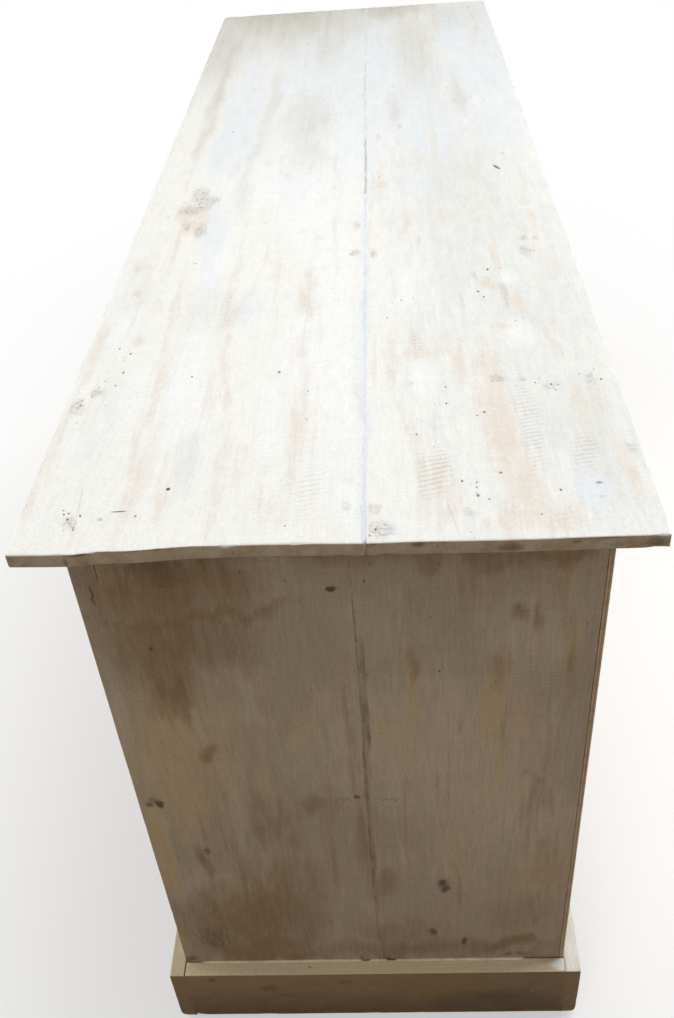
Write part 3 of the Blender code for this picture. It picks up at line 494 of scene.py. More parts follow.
TOP_NICKS = [
    (-172, 674.2, 14, 2.4, 0, 1), (-135, 674.5, 9, 1.8, 0, 0.9), (-118, 674.5, 6, 1.8, 0, 0.8),
    (58, 671.5, 7, 3.2, 0, 1), (119, 668, 12, 4.4, 0, 0.9), (163, 670.5, 6, 2.8, 0, 1),
    (215, 669, 12, 5, 0, 0.9), (103, 666, 6, 2.4, 0, 0.7), (30, 674.2, 20, 1.6, 0, 0.7),
    (-60, 665, 30, 2.4, 0, 0.5), (190, 674, 12, 1.8, 0, 0.7), (-221, 670, 6, 5, 0, 0.5),
    (188, 668, 14, 4, 0, 0.6), (180, 673.8, 40, 1.4, 0, 0.8), (-182, 668, 1.6, 6, 0, 0.9),
    (-150, 669, 60, 6, 0, 0.35),
]

lime = Timber("worn_limewash_top")
lime.grow(lime.read("grain"))
spot = lime.place()
along_top, across_top = lime.split(spot)[:2]
loose = lime.wander(spot, (24.0, 40.0, 40.0), (0.022, 0.009, 0.0), 4.0)
top_lie = lime.split(lime.read("lie"))
arris_away = top_lie[0]
facing_up = top_lie[2]

density = lime.laid(lime.patchy, 0.6, lime.part(lime.drift, 0.4))
colour = lime.blend(lime.fade(density, 0.36, 0.62), CREAM, WARM_WHITE)
haze = lime.torn(lime.marked("haze"), 3.2, 0.0, 1.3)
colour = lime.blend(lime.part(haze, 0.72), colour, COOL_GREY)
chalk = lime.torn(lime.marked("chalk"), 3.2, 0.05, 1.2)
colour = lime.blend(lime.part(chalk, 0.9), colour, CHALK)
# The painted reflection of the sky, laid on as a bluish white.
blue = lime.torn(lime.marked("blue"), 3.0, 0.0, 1.2)
colour = lime.blend(lime.part(blue, 0.8), colour, PAINTED_REFLECTION_BLUE)
smears = lime.fade(lime.mottle, 0.52, 0.72)
colour = lime.blend(lime.part(smears, 0.3), colour, COOL_GREY)
thin_lines = lime.fade(lime.part(lime.streaks, lime.patchy), 0.27, 0.40)
colour = lime.blend(lime.part(thin_lines, 0.45), colour, PEACH)
wear = lime.torn(lime.part(lime.marked("wear"), 1.18), 4.6, 0.05, 1.6, True)
wear = lime.part(wear, lime.fade(lime.mottle, 0.36, 0.62, 0.55, 1.08))
colour = lime.blend(wear, colour, PEACH)
olive = lime.part(lime.marked("olive"), lime.fade(lime.patchy, 0.3, 0.65, 0.75, 1.05))
olive = lime.part(olive, lime.fade(lime.streaks, 0.35, 0.65, 0.8, 1.05))
colour = lime.blend(olive, colour, OLIVE_GREY)

speckle = lime.fade(lime.cloud(loose, (640.0, 230.0, 1.0), 4.0, 0.75), 0.45, 0.64, 0.22, 1.0)
smudged = lime.part(lime.torn(lime.marked("smudge"), 2.6, 0.1, 1.1), speckle)
colour = lime.blend(lime.part(smudged, 0.75), colour, SMUDGE)
wave_phase = lime.laid(along_top, 1185.0, lime.part(lime.drift, 28.0))
wave_phase = lime.laid(across_top, 260.0, wave_phase)
ridge = lime.fade(lime.calc("SINE", wave_phase), 0.3, 1.0)
sawn = lime.part(ridge, lime.torn(lime.marked("sawn"), 3.0, 0.2, 1.2))
colour = lime.blend(lime.part(sawn, 0.32), colour, SAW_LINE)
clean_share = lime.laid(lime.marked("pitted"), -0.85, 0.992)
pits = lime.specks(loose, (170.0, 250.0, 1.0), clean_share, 0.24)
fine_pits = lime.specks(loose, (260.0, 420.0, 1.0), 0.93, 0.2)
colour = lime.blend(lime.part(fine_pits, 0.4), colour, SMUDGE)
dark = lime.most(lime.part(pits, 0.8), lime.dots(spot, 2, TOP_HOLES))
colour = lime.blend(dark, colour, PIT)
fibre_shade = lime.fade(lime.fibres, 0.25, 0.72, 0.965, 1.012)
grit_shade = lime.fade(lime.grit, 0.3, 0.7, 0.955, 1.03)
brushed = lime.fade(lime.cloud(spot, (150.0, 22.0, 1.0), 4.0, 0.7), 0.3, 0.7, 0.984, 1.008)
colour = lime.dim(colour, lime.part(lime.part(fibre_shade, grit_shade), brushed))

edge = lime.fade(facing_up, 0.6, 0.3)
worn_edge = lime.fade(lime.laid(lime.mottle, 5.0, arris_away), 3.2, 2.0, 0.0, 0.35)
edge_tone = lime.blend(lime.fade(lime.streaks, 0.35, 0.7), EDGE_BROWN, BARE)
edge_tone = lime.blend(lime.fade(lime.mottle, 0.55, 0.75, 0.0, 0.55), edge_tone, PIT)
nicked = lime.torn(lime.marked("nick"), 1.4, 0.3, 1.0)
edge_tone = lime.blend(lime.part(nicked, 0.75), edge_tone, PIT)
colour = lime.blend(lime.most(edge, worn_edge), colour, edge_tone)
under_tone = lime.blend(lime.fade(lime.streaks, 0.3, 0.7), BARE, EDGE_BROWN)
colour = lime.blend(lime.fade(facing_up, -0.4, -0.8), colour, under_tone)

relief = lime.laid(lime.fibres, 0.5, lime.part(lime.mottle, 0.7))
relief = lime.laid(sawn, -0.8, relief)
relief = lime.laid(dark, -1.6, relief)
lime.surface(colour, lime.fade(lime.mottle, 0.3, 0.7, 0.55, 0.72), relief, 0.0008, 0.85, 0.02)


def drawn_in(point, heart, corner):
    """A point of a flat shape, drawn in to a rounded corner's radius from the corner's heart."""
    reach = point - heart
    if reach.length <= corner:
        return point
    return heart + reach.normalized() * corner


TOP_ARRIS = 0.0017
TOP_WAVE = 0.0003
TOP_PITCH = (0.005, 0.0032)
TOP_HALF_LENGTH = 0.715
TOP_HALF_DEPTH = 0.225
NEAR_CORNER = 0.003
FAR_CORNER = 0.011
CUT_FROM = 0.5
NEAR_CUT_AT = [-225, -178, -160, -139, -97, -24, 18, 62, 120, 225]
NEAR_CUT_BACK = [2.9, 1.2, 3.4, 3.0, 5.6, 4.3, 2.4, 2.0, 0.3, 0.2]
for label, seed in (("top_board_front", 1.0), ("top_board_back", 2.0)):
    low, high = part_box(label)
    board = plank(label + "_worn", low, high, 0, lime, TOP_ARRIS, TOP_WAVE, TOP_PITCH, seed)
    for vertex in board.data.vertices:
        point = vertex.co
        corner = NEAR_CORNER if point.x > 0.0 else FAR_CORNER
        heart_x = held(point.x, corner - TOP_HALF_LENGTH, TOP_HALF_LENGTH - corner)
        heart_y = held(point.y, corner - TOP_HALF_DEPTH, TOP_HALF_DEPTH - corner)
        point.xy = drawn_in(point.xy, Vector((heart_x, heart_y)), corner)
        if point.x > CUT_FROM:
            cut = float(np.interp(1000.0 * point.y, NEAR_CUT_AT, NEAR_CUT_BACK)) / 1000.0
            cut += 0.0003 * (1.0 + noise.noise((3.0, point.y * 60.0, 0.5)))
            point.x -= cut * ((point.x - CUT_FROM) / (TOP_HALF_LENGTH - CUT_FROM)) ** 2
    mark(board, 2, 0, 0.6, wear=TOP_WEAR)
    mark(board, 2, 0, 1.0, chalk=TOP_CHALK, haze=TOP_HAZE, blue=TOP_PAINTED_REFLECTION, olive=TOP_OLIVE)
    mark(board, 2, 0, 0.4, smudge=TOP_SMUDGES, sawn=TOP_SAWN, pitted=TOP_PITTED)
    mark(board, 0, 1, 0.1, nick=TOP_NICKS)
    fit(board, "carcass", "limewash_top", label)


# The filler in the top's seam: a bluish white putty, pressed into the open joint and smoothed with a finger.
# It has sunk over a short stretch in the middle, where the joint shows grey.
def filler(name, dark, pale):
    """Putty or dirt that fills a joint, in two tones."""
    putty = Timber(name)
    putty.grow(putty.place())
    tone = putty.blend(putty.fade(putty.mottle, 0.35, 0.7), dark, pale)
    putty.surface(tone, putty.fade(putty.grit, 0.3, 0.7, 0.6, 0.8), putty.mottle, 0.0005, 0.7, 0.2)
    return putty


TOP_JOINT = 0.0214
TOP_LEVEL = 0.67488
SEAM_STEP = 0.004
SEAM_SECTION = ((-1.0, -0.0022), (-0.75, -0.0001), (0.0, 0.0), (0.75, -0.0001), (1.0, -0.0022))


def filled_seam(name, finish, slot, start, end, half, seed, put):
    """A low, uneven ribbon of filler along a seam. put turns along, across and height into a point."""
    count = round((end - start) / SEAM_STEP)
    points = []
    for step in range(count + 1):
        along = start + (end - start) * step / count
        taper = min(1.0, step / 2.0, (count - step) / 2.0)
        wide = half * (0.45 + 0.55 * taper) * (1.0 + 0.35 * noise.noise((along * 30.0, seed, 0.0)))
        middle = 0.0012 * noise.noise((along * 9.0, seed, 4.0))
        crown = -0.0001 * noise.noise((along * 60.0, seed, 8.0))
        for across, height in SEAM_SECTION:
            points.append(put(along, middle + across * wide, crown + height))
    lanes = len(SEAM_SECTION)
    faces = []
    for step in range(count):
        for lane in range(lanes):
            a = step * lanes + lane
            b = step * lanes + (lane + 1) % lanes
            faces.append((a, a + lanes, b + lanes, b))
    faces.append(tuple(range(lanes)))
    faces.append(tuple(range(count * lanes + lanes - 1, count * lanes - 1, -1)))
    piece = made(name, points, faces, finish, True)
    grain = [Vector((z, x, y)) + GRAIN_SHIFT * seed for x, y, z in points]
    smooth(piece, grain, [(30.0, 0.0, vertex.normal.z) for vertex in piece.data.vertices])
    fit(piece, "carcass", slot)
    return piece


def on_top(along, across, height):
    return (along, TOP_JOINT + across, TOP_LEVEL + height)


def upright(sign, face, joint):
    """Puts a seam upright on a face that looks out at an end, at the face's distance from the middle."""
    return lambda along, across, height: (sign * (face + height), joint + across, along)


blue_putty = filler("blue_putty", (0.72, 0.765, 0.81, 1.0), (0.82, 0.86, 0.905, 1.0))
wash_putty = filler("wash_putty", (0.70, 0.715, 0.70, 1.0), (0.84, 0.85, 0.835, 1.0))
thin_putty = filler("thin_putty", (0.50, 0.515, 0.52, 1.0), (0.70, 0.725, 0.74, 1.0))
edge_putty = filler("edge_putty", (0.30, 0.24, 0.17, 1.0), (0.42, 0.345, 0.255, 1.0))
filled_seam("seam_filler_near", blue_putty, "limewash_top", 0.108, 0.7118, 0.0028, 1.0, on_top)
filled_seam("seam_filler_middle", thin_putty, "limewash_top", -0.064, 0.116, 0.0022, 3.0, on_top)
filled_seam("seam_filler_far", wash_putty, "limewash_top", -0.709, -0.056, 0.0036, 2.0, on_top)
on_edge = upright(1.0, 0.7121, 0.0222)
filled_seam("seam_filler_edge", edge_putty, "limewash_top", 0.6636, 0.6742, 0.0022, 9.0, on_edge)


# The ends: two upright boards each, butted edge to edge and limewashed so thinly that brown wood shows.
# They stand on the floor inside the plinth, and are nailed to the shelf and the bottom board.
# These side wash colours are partly painted shade: they are set darker and browner than the top's wash, so
# that the near end keeps the dark look of the shade it stands in.
WASH_GREY = (0.40, 0.318, 0.23, 1.0)
WASH_PALE = (0.512, 0.418, 0.318, 1.0)
WASH_TAN = (0.52, 0.375, 0.222, 1.0)
WOOD_BROWN = (0.25, 0.16, 0.082, 1.0)
GRIME_AND_SHADE = (0.11, 0.068, 0.036, 1.0)
# Painted light on the plinth's ledge: a paler wash where it faces up, and a whiter one in patches, mostly on
# the back.
LEDGE_WASH_AND_LIGHT = (0.76, 0.615, 0.40, 1.0)
LEDGE_PAINTED_LIGHT = (0.81, 0.795, 0.755, 1.0)
# The brown of the plinth's face, darker than the ends' wash: painted shade.
FOOT_SHADE_BROWN = (0.248, 0.152, 0.066, 1.0)
END_ARRIS = 0.0007
END_WAVE = 0.0003
END_PITCH = (0.005, 0.0035)
RIGHT_SEED = 3.0
LEFT_SEED = 5.0
END_PALE = [
    (70, 430, 120, 110, 0, 1), (120, 330, 80, 90, 0, 0.8), (-20, 430, 60, 100, 0, 0.7),
    (140, 560, 50, 60, 0, 0.7), (-174, 400, 10, 35, 0, 0.9), (-180, 325, 10, 30, 0, 0.9),
    (-135, 455, 14, 16, 0, 0.9), (-105, 350, 18, 90, 0, 0.6), (30, 560, 60, 50, 0, 0.5),
    (90, 240, 50, 50, 0, 0.5), (-92, 265, 10, 40, -15, 0.7), (120, 360, 60, 80, 0, 1),
    (165, 330, 30, 80, 0, 0.8), (-187, 460, 12, 110, 0, 0.9),
]
END_TAN = [
    (-155, 430, 36, 140, 0, 0.9), (-120, 420, 40, 110, 0, 0.6), (-185, 280, 14, 100, 0, 0.9),
    (-40, 455, 16, 45, 0, 0.8), (53, 480, 9, 70, 2, 0.8), (116, 480, 13, 55, 0, 1),
    (122, 400, 7, 50, 0, 0.7), (143, 460, 13, 40, 0, 0.7), (174, 540, 10, 50, 0, 0.7),
    (23, 437, 15, 45, 0, 0.6), (167, 240, 30, 55, 0, 0.7), (-78, 390, 12, 60, 0, 0.6),
    (120, 200, 30, 40, 0, 0.4), (-60, 240, 30, 60, 0, 0.4),
]
# Partly painted shade: the rows from about 610 mm up, under the top, and those at 90 to 112 mm, above the
# ledge, are darker bands where the top's overhang and the foot shade the end. The rest are stains.
END_STAINS_AND_SHADE = [
    (-126, 622, 75, 46, 0, 1), (-128, 560, 70, 55, 0, 0.85), (-138, 505, 26, 40, 0, 0.7),
    (-78, 195, 50, 110, 0, 0.7), (-126, 160, 85, 70, 0, 0.85), (-126, 112, 70, 26, 0, 1),
    (60, 106, 150, 22, 0, 0.75), (143, 107, 48, 15, 0, 1), (170, 235, 26, 40, 0, 0.4),
    (67, 640, 14, 14, 0, 0.7), (133.5, 571, 8, 10, 0, 0.9), (146.6, 576, 4, 20, 0, 0.9),
    (-124.5, 428, 12, 11, 0, 0.8), (-41, 345, 10, 14, 0, 0.7), (-147, 260, 7, 40, 0, 0.7),
    (20, 225, 12, 20, 0, 0.6), (54, 520, 8, 30, 0, 0.6), (116, 510, 9, 30, 0, 0.5),
    (150, 383, 16, 8, 0, 0.5), (100, 648, 95, 16, 0, 0.6), (30, 140, 70, 40, 0, 0.5),
    (-60, 300, 12, 30, 0, 0.5), (10, 640, 70, 18, 0, 0.5), (130, 610, 70, 40, 0, 0.35),
    (-120, 585, 85, 12, 0, 1), (-130, 625, 70, 30, 0, 1), (150, 165, 50, 60, 0, 0.5),
    (-110, 94, 90, 16, 0, 0.8), (80, 90, 110, 10, 0, 0.5), (175, 512, 8, 50, 0, 0.5),
    (140, 634, 60, 12, 0, 0.75), (170, 630, 3, 12, 0, 0.9), (135, 632, 3, 12, 0, 0.8),
]
# The long thin rows at 661 mm, just under the top, are painted shade where the top overhangs. The rest are
# dirt in the joint, knots and nail holes.
END_GRIME_AND_SHADE = [
    (9, 330, 2.2, 340, 0, 0.6), (12, 430, 2, 120, 0, 0.8), (12.5, 530, 2.8, 50, 0, 0.7),
    (10.5, 265, 2.8, 60, 0, 0.7), (75, 219, 8.5, 15, 12, 0.7), (64, 134, 6.5, 16, 14, 0.7),
    (96, 119, 5.5, 12, 0, 0.7), (-6, 609, 6, 4.5, 0, 0.6), (-180, 357.5, 8.5, 9, 0, 0.7),
    (-162, 131, 26, 30, 0, 0.6), (-100, 661, 90, 4, 0, 0.5), (-130, 632, 60, 26, 0, 0.45),
    (100, 661, 100, 3.5, 0, 0.6), (150, 88, 30, 6, 0, 0.6), (-138, 500, 3, 20, 0, 0.5),
    (-0.5, 362, 4.5, 5, 0, 0.7), (190, 366, 4, 8, 0, 0.4), (-10, 87, 5, 4, 0, 0.9), (18, 87, 5, 4, 0, 1),
    (-188, 90, 10, 7, 0, 0.8),
]
END_SAWN = [
    (160, 515, 30, 35, 0, 0.8), (115, 435, 14, 30, 0, 0.7), (58, 430, 8, 20, 0, 0.7),
]
END_KNOTS = [
    (-6, 609, 3.4, 2.4, 0, 1), (73.5, 224, 4.6, 6.2, 10, 0.85), (76.8, 213, 3.8, 7.4, -14, 0.8),
    (65, 136, 3.2, 6.6, 20, 0.75), (96, 118.5, 3.4, 8, 0, 0.85), (-148, 553, 1.3, 3.4, 0, 0.9),
    (-144, 283, 3.2, 6, 0, 0.65), (73, 518, 1.1, 1.1, 0, 0.9), (-182.5, 611.5, 0.8, 11.5, 0, 0.85),
    (117.5, 504, 0.9, 0.9, 0, 0.9), (-175.5, 356.3, 3.6, 5.6, 0, 1), (-185.6, 354.7, 3.2, 3.4, 30, 0.7),
    (0, 360.5, 2.8, 1.8, 0, 1), (101, 336, 0.8, 1, 0, 0.7),
]


def side_wash(name, dots=None, foot=False, weather=False):
    """The thin wash of the sides. Marks are read from the mesh, and a mesh without them has none.
    foot paints the plinth's upward faces paler and its back ledge whiter, as painted light, and its face
    browner, darker towards the floor and the back, as painted shade; weather darkens an unmarked board low
    and high."""
    wash = Timber(name)
    wash.grow(wash.read("grain"))
    away, sawn_end, facing = wash.split(wash.read("lie"))
    spot = wash.place()
    across, height = wash.split(spot)[1:3]

    density = wash.laid(wash.patchy, 0.45, wash.part(wash.drift, 0.55))
    pale = wash.torn(wash.marked("pale"), 2.2, 0.05, 1.1)
    pale = wash.most(pale, wash.fade(density, 0.5, 0.64, 0.0, 0.9))
    colour = wash.blend(pale, WASH_GREY, WASH_PALE)
    tan = wash.torn(wash.marked("tan"), 2.2, 0.1, 1.0)
    tan = wash.most(tan, wash.fade(wash.part(wash.streaks, wash.drift), 0.27, 0.36, 0.0, 0.7))
    colour = wash.blend(wash.part(tan, 0.85), colour, WASH_TAN)
    thin = wash.part(wash.streaks, wash.patchy)
    colour = wash.blend(wash.fade(thin, 0.27, 0.42, 0.0, 0.55), colour, WOOD_BROWN)
    # Stains. On the right end this also carries painted shade, in darker bands under the top and along the
    # foot.
    stain = wash.torn(wash.marked("stain"), 2.0, 0.0, 1.1)
    stain = wash.most(stain, wash.fade(density, 0.42, 0.3, 0.0, 0.6))
    if weather:
        uneven = wash.laid(wash.patchy, 0.5, wash.part(wash.drift, 0.5))
        uneven = wash.part(wash.calc("SUBTRACT", uneven, 0.5), 2.6)
        # Darker below about 0.27 m and above about 0.6 m, with ragged edges.
        darker_low = wash.fade(wash.laid(uneven, 0.12, height), 0.27, 0.07, 0.0, 0.85)
        darker_high = wash.fade(wash.laid(uneven, 0.10, height), 0.58, 0.70, 0.0, 0.75)
        stain = wash.most(stain, wash.most(darker_low, darker_high))
    colour = wash.blend(wash.part(stain, 0.95), colour, WOOD_BROWN)
    if foot:
        # Painted light: faces that look up are painted paler, as if lit.
        colour = wash.blend(wash.fade(facing, 0.5, 0.85, 0.0, 0.9), colour, LEDGE_WASH_AND_LIGHT)
        # Painted light: whiter patches on the ledge, where light falls on the back.
        white = wash.part(wash.torn(wash.marked("white"), 2.2, 0.1, 0.8), wash.fade(facing, 0.5, 0.85))
        colour = wash.blend(white, colour, LEDGE_PAINTED_LIGHT)
        # Painted shade: the plinth's upright faces are painted brown all over, and browner towards the floor.
        shade_height = wash.laid(wash.calc("SUBTRACT", wash.drift, 0.5), -0.06, height)
        steep = wash.fade(facing, 0.8, 0.4)
        brown = wash.part(wash.fade(shade_height, 0.09, 0.0, 0.85, 1.0), steep)
        colour = wash.blend(brown, colour, FOOT_SHADE_BROWN)
        # Painted shade: darker towards the back and towards the floor.
        foot_shade = wash.fade(wash.laid(wash.drift, 0.3, across), 0.1, 0.36, 0.0, 0.45)
        foot_shade = wash.most(wash.fade(shade_height, 0.06, 0.0, 0.08, 0.75), foot_shade)
        colour = wash.blend(wash.part(foot_shade, steep), colour, GRIME_AND_SHADE)
    # Dirt. On the right end this also carries painted shade in thin lines under the top, and on the plinth in
    # its lower back corner.
    grime = wash.torn(wash.marked("grime"), 1.6, 0.2, 0.9)
    colour = wash.blend(wash.part(grime, 0.8), colour, GRIME_AND_SHADE)
    edge = wash.fade(wash.laid(wash.mottle, 6.0, away), 4.4, 2.2)
    colour = wash.blend(wash.part(edge, 0.55), colour, WASH_TAN)
    colour = wash.blend(wash.fade(sawn_end, 0.5, 0.9, 0.0, 0.6), colour, WOOD_BROWN)
    dark = wash.part(wash.specks(wash.grain, (60.0, 190.0, 190.0), 0.95, 0.14), 0.7)
    if dots:
        ragged = wash.wander(spot, (150.0, 150.0, 150.0), (0.0, 0.0055, 0.0055), 3.0)
        dark = wash.most(dark, wash.dots(ragged, 0, dots))
    colour = wash.blend(dark, colour, GRIME_AND_SHADE)
    cross_saw = wash.cloud(wash.grain, (380.0, 16.0, 16.0), 3.0, 0.6)
    fibre_shade = wash.fade(wash.fibres, 0.25, 0.75, 0.91, 1.05)
    grit_shade = wash.fade(wash.grit, 0.3, 0.7, 0.93, 1.06)
    saw_shade = wash.fade(cross_saw, 0.3, 0.7, 0.975, 1.015)
    colour = wash.dim(colour, wash.part(fibre_shade, wash.part(grit_shade, saw_shade)))

    along = wash.split(wash.grain)[0]
    phase = wash.laid(along, 1500.0, wash.part(wash.drift, 30.0))
    ridge = wash.part(wash.calc("SINE", phase), wash.marked("sawn"))
    relief = wash.laid(wash.fibres, 0.5, wash.part(wash.mottle, 0.5))
    relief = wash.laid(cross_saw, 0.12, relief)
    relief = wash.laid(ridge, 0.35, relief)
    relief = wash.laid(dark, -1.5, relief)
    wash.surface(colour, wash.fade(wash.mottle, 0.3, 0.7, 0.6, 0.8), relief, 0.0007, 0.8, 0.2)
    return wash


def mark_end(piece):
    """The stains, painted shade, wear and saw marks of the right end, which run on from its boards over its
    stile.
    """
    mark(piece, 0, 2, 1.0, pale=END_PALE, tan=END_TAN, stain=END_STAINS_AND_SHADE)
    mark(piece, 0, 2, 0.25, grime=END_GRIME_AND_SHADE, sawn=END_SAWN)


right_end_wash = side_wash("worn_limewash_right_end", dots=END_KNOTS)
board_wash = side_wash("worn_limewash_boards", weather=True)
for side, finish, seed in (("right", right_end_wash, RIGHT_SEED), ("left", board_wash, LEFT_SEED)):
    for number, half in enumerate(("front", "back")):
        label = "end_board_" + side + "_" + half
        low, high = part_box(label)
        board = plank(label + "_worn", low, high, 2, finish, END_ARRIS, END_WAVE, END_PITCH, seed + number)
        if side == "right":
            mark_end(board)
        fit(board, "carcass", "limewash_side", label)

END_JOINT = 0.00925
STILE_JOINT = -0.17485
FOOT_FACE = 0.6868
FOOT_LEVEL = 0.0842
FOOT_RUNS = [(-0.178, -0.010), (-0.002, 0.016), (0.025, 0.157)]
seam_dirt = filler("seam_dirt", (0.235, 0.165, 0.10, 1.0), WASH_GREY)
# A pale wash in the joint of the ends and the ledge, made paler than the ledge: partly painted light over the
# shade in that corner.
foot_seam_wash_and_light = filler("foot_seam_wash_and_light", (0.70, 0.57, 0.40, 1.0), (0.93, 0.81, 0.62, 1.0))


def along_foot(sign):
    return lambda along, across, height: (sign * (FOOT_FACE + across), along, FOOT_LEVEL + height)


both_ends = (("left", -1.0, board_wash, LEFT_SEED), ("right", 1.0, right_end_wash, RIGHT_SEED))
for side, sign, finish, seed in both_ends:
    filled_seam("end_seam_" + side, seam_dirt, "limewash_side", 0.088, 0.661, 0.0018, 3.0 + sign,
                upright(sign, 0.68585, END_JOINT))
    washed = filled_seam("stile_seam_" + side, finish, "limewash_side", 0.086, 0.624, 0.0030, seed,
                         upright(sign, 0.6859, STILE_JOINT))
    if side == "right":
        mark_end(washed)
    for number, (start, end) in enumerate(FOOT_RUNS):
        filled_seam("foot_seam_%s_%d" % (side, number), foot_seam_wash_and_light, "limewash_side", start, end, 0.0020,
                    14.0 + number, along_foot(sign))


# The plinth: four boards round the foot, the long ones run past the short ones so that their end grain shows.
# The wash is rubbed off by shoes and brooms. The face is painted browner, and darker towards the floor and
# the back, as painted shade;
# the ledge is painted paler where it faces up, and whiter on the back, as painted light.
PLINTH_ARRIS = 0.0018
PLINTH_WAVE = 0.0004
PLINTH_PITCH = (0.008, 0.0045)
PLINTH_CORNER = 0.010
PLINTH_CORNER_RUN = 0.045
PLINTH_BOARDS = [
    ("plinth_front", 0, 7.0), ("plinth_back", 0, 8.0), ("plinth_left", 1, 9.0), ("plinth_right", 1, 12.0),
]
LEDGE_EDGE = 0.7014
LEDGE_LEVEL = 0.0835
PLINTH_JOINTS = [("front", -0.19515), ("back", 0.19715)]
# Patches of painted light on the ledge, mostly on the back.
LEDGE_LIGHT_PATCHES = [
    (640, 206, 110, 12, 0, 1), (694, 192, 8, 9, 0, 0.9), (668, -203, 12, 8, 0, 0.5),
]
# The first patch, low in the back corner, is painted shade. The second darkens the foot along the floor, and
# the small ones are dirt.
PLINTH_GRIME_AND_SHADE = [
    (135, 18, 85, 36, 0, 1), (-60, 4, 120, 10, 0, 0.5), (-167, 74, 8, 7, 0, 0.8),
    (-108, 56, 14, 10, 0, 0.8), (-25, 68, 14, 9, 0, 0.8), (-80, 40, 50, 12, 0, 0.5),
    (160, 89.5, 40, 5, 0, 1.2),
]
plinth_wash = side_wash("worn_limewash_plinth", foot=True)
for label, along, seed in PLINTH_BOARDS:
    low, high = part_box(label)
    name = label + "_worn"
    board = plank(name, low, high, along, plinth_wash, PLINTH_ARRIS, PLINTH_WAVE, PLINTH_PITCH, seed)
    if along == 0:
        for vertex in board.data.vertices:
            point = vertex.co
            near_end = max(0.0, 1.0 - (high.x - abs(point.x)) / PLINTH_CORNER_RUN)
            corner = PLINTH_CORNER * near_end * near_end
            heart_y = min(point.y, high.y - corner)
            if label == "plinth_front":
                heart_y = max(point.y, low.y + corner)
            heart_z = held(point.z, corner, high.z - 0.5 * corner)
            point.yz = drawn_in(point.yz, Vector((heart_y, heart_z)), corner)
    mark(board, 2, along, 0.5, white=LEDGE_LIGHT_PATCHES)
    if label == "plinth_right":
        mark(board, 0, 1, 0.5, grime=PLINTH_GRIME_AND_SHADE)
    fit(board, "carcass", "limewash_side", label)


def across_ledge(sign, joint):
    return lambda along, across, height: (sign * (LEDGE_EDGE - along), joint + across, LEDGE_LEVEL + height)


ledge_dirt = filler("ledge_dirt", (0.12, 0.08, 0.046, 1.0), (0.21, 0.15, 0.095, 1.0))
for side, sign in (("left", -1.0), ("right", 1.0)):
    for place, joint in PLINTH_JOINTS:
        name = side + "_" + place
        seed = 8.0 + sign + joint
        filled_seam("plinth_seam_" + name, plinth_wash, "limewash_side", 0.0004, 0.0815, 0.0034, seed,
                    upright(sign, 0.7017, joint))
        # The right back ledge seam takes the plinth's wash, so that the painted light of the white patch runs
        # over it.
        finish = plinth_wash if name == "right_back" else ledge_dirt
        washed = filled_seam("ledge_seam_" + name, finish, "limewash_side", 0.0, 0.0150, 0.0018, seed,
                             across_ledge(sign, joint))
        mark(washed, 2, 1, 0.5, white=LEDGE_LIGHT_PATCHES)


# The face frame: two stiles, two posts and two rails, tenoned and pegged, and nailed to the boards behind.
# The rails and posts are drawn from shoulder to shoulder, because their tenons are out of sight.
STILE = (0.636, 0.686)
STILE_TALL = (0.003, 0.6627)
POST = (0.250, 0.290)
FRAME_DEPTH = (-0.195, -0.175)
RAIL_TOP = (0.6177, 0.6627)
RAIL_BOTTOM = (0.060, 0.108)
POST_TALL = (RAIL_BOTTOM[1], RAIL_TOP[0])
FRAME_ARRIS = 0.0012
FRONT_WAVE = 0.00025
FRONT_PITCH = (0.007, 0.004)


def front_board(name, wide, tall, along, finish, arris, seed):
    """A board of the front, as thick as the face frame, between two places across and two heights."""
    low = (wide[0], FRAME_DEPTH[0], tall[0])
    high = (wide[1], FRAME_DEPTH[1], tall[1])
    return plank(name, low, high, along, finish, arris, FRONT_WAVE, FRONT_PITCH, seed)


frame_boards = [
    ("stile_left", (-STILE[1], -STILE[0]), STILE_TALL, 2, board_wash, 5.0),
    ("stile_right", STILE, STILE_TALL, 2, right_end_wash, 3.0),
    ("post_left", (-POST[1], -POST[0]), POST_TALL, 2, board_wash, 13.0),
    ("post_right", POST, POST_TALL, 2, board_wash, 14.0),
    ("rail_top", (-STILE[0], STILE[0]), RAIL_TOP, 0, board_wash, 15.0),
    ("rail_bottom", (-STILE[0], STILE[0]), RAIL_BOTTOM, 0, board_wash, 16.0),
]
for label, wide, tall, along, finish, seed in frame_boards:
    board = front_board("frame_" + label + "_worn", wide, tall, along, finish, FRAME_ARRIS, seed)
    if label == "stile_right":
        mark_end(board)
    fit(board, "carcass", "limewash_side", "frame_" + label)


# The doors: stiles and rails tenoned and pegged, round a raised and fielded panel loose in their grooves.
# They hang flush in the face frame, and the wash has worn off their arrises where hands pull them.
DOOR = (0.292, 0.634)
DOOR_TALL = (0.110, 0.6157)
DOOR_STILE = 0.055
DOOR_RAIL_TOP = 0.055
DOOR_RAIL_BOTTOM = 0.065
DOOR_ARRIS = 0.0013
KNOB_FROM_MIDDLE = 0.3195
PANEL_PITCH = 0.008
PANEL_INSET = [0.0, 6.8, 7.4, 9.0, 12.0, 15.0, 18.0, 20.4, 21.2, 21.5, 21.9, 22.5, 23.4, 26.0]
PANEL_RISE = [0.0, 0.0, 0.05, 0.35, 1.05, 1.8, 2.6, 3.3, 3.6, 4.2, 4.72, 4.95, 5.0, 5.0]
FIELD_EDGE = 21.8
GROOVE_EDGE = 7.0


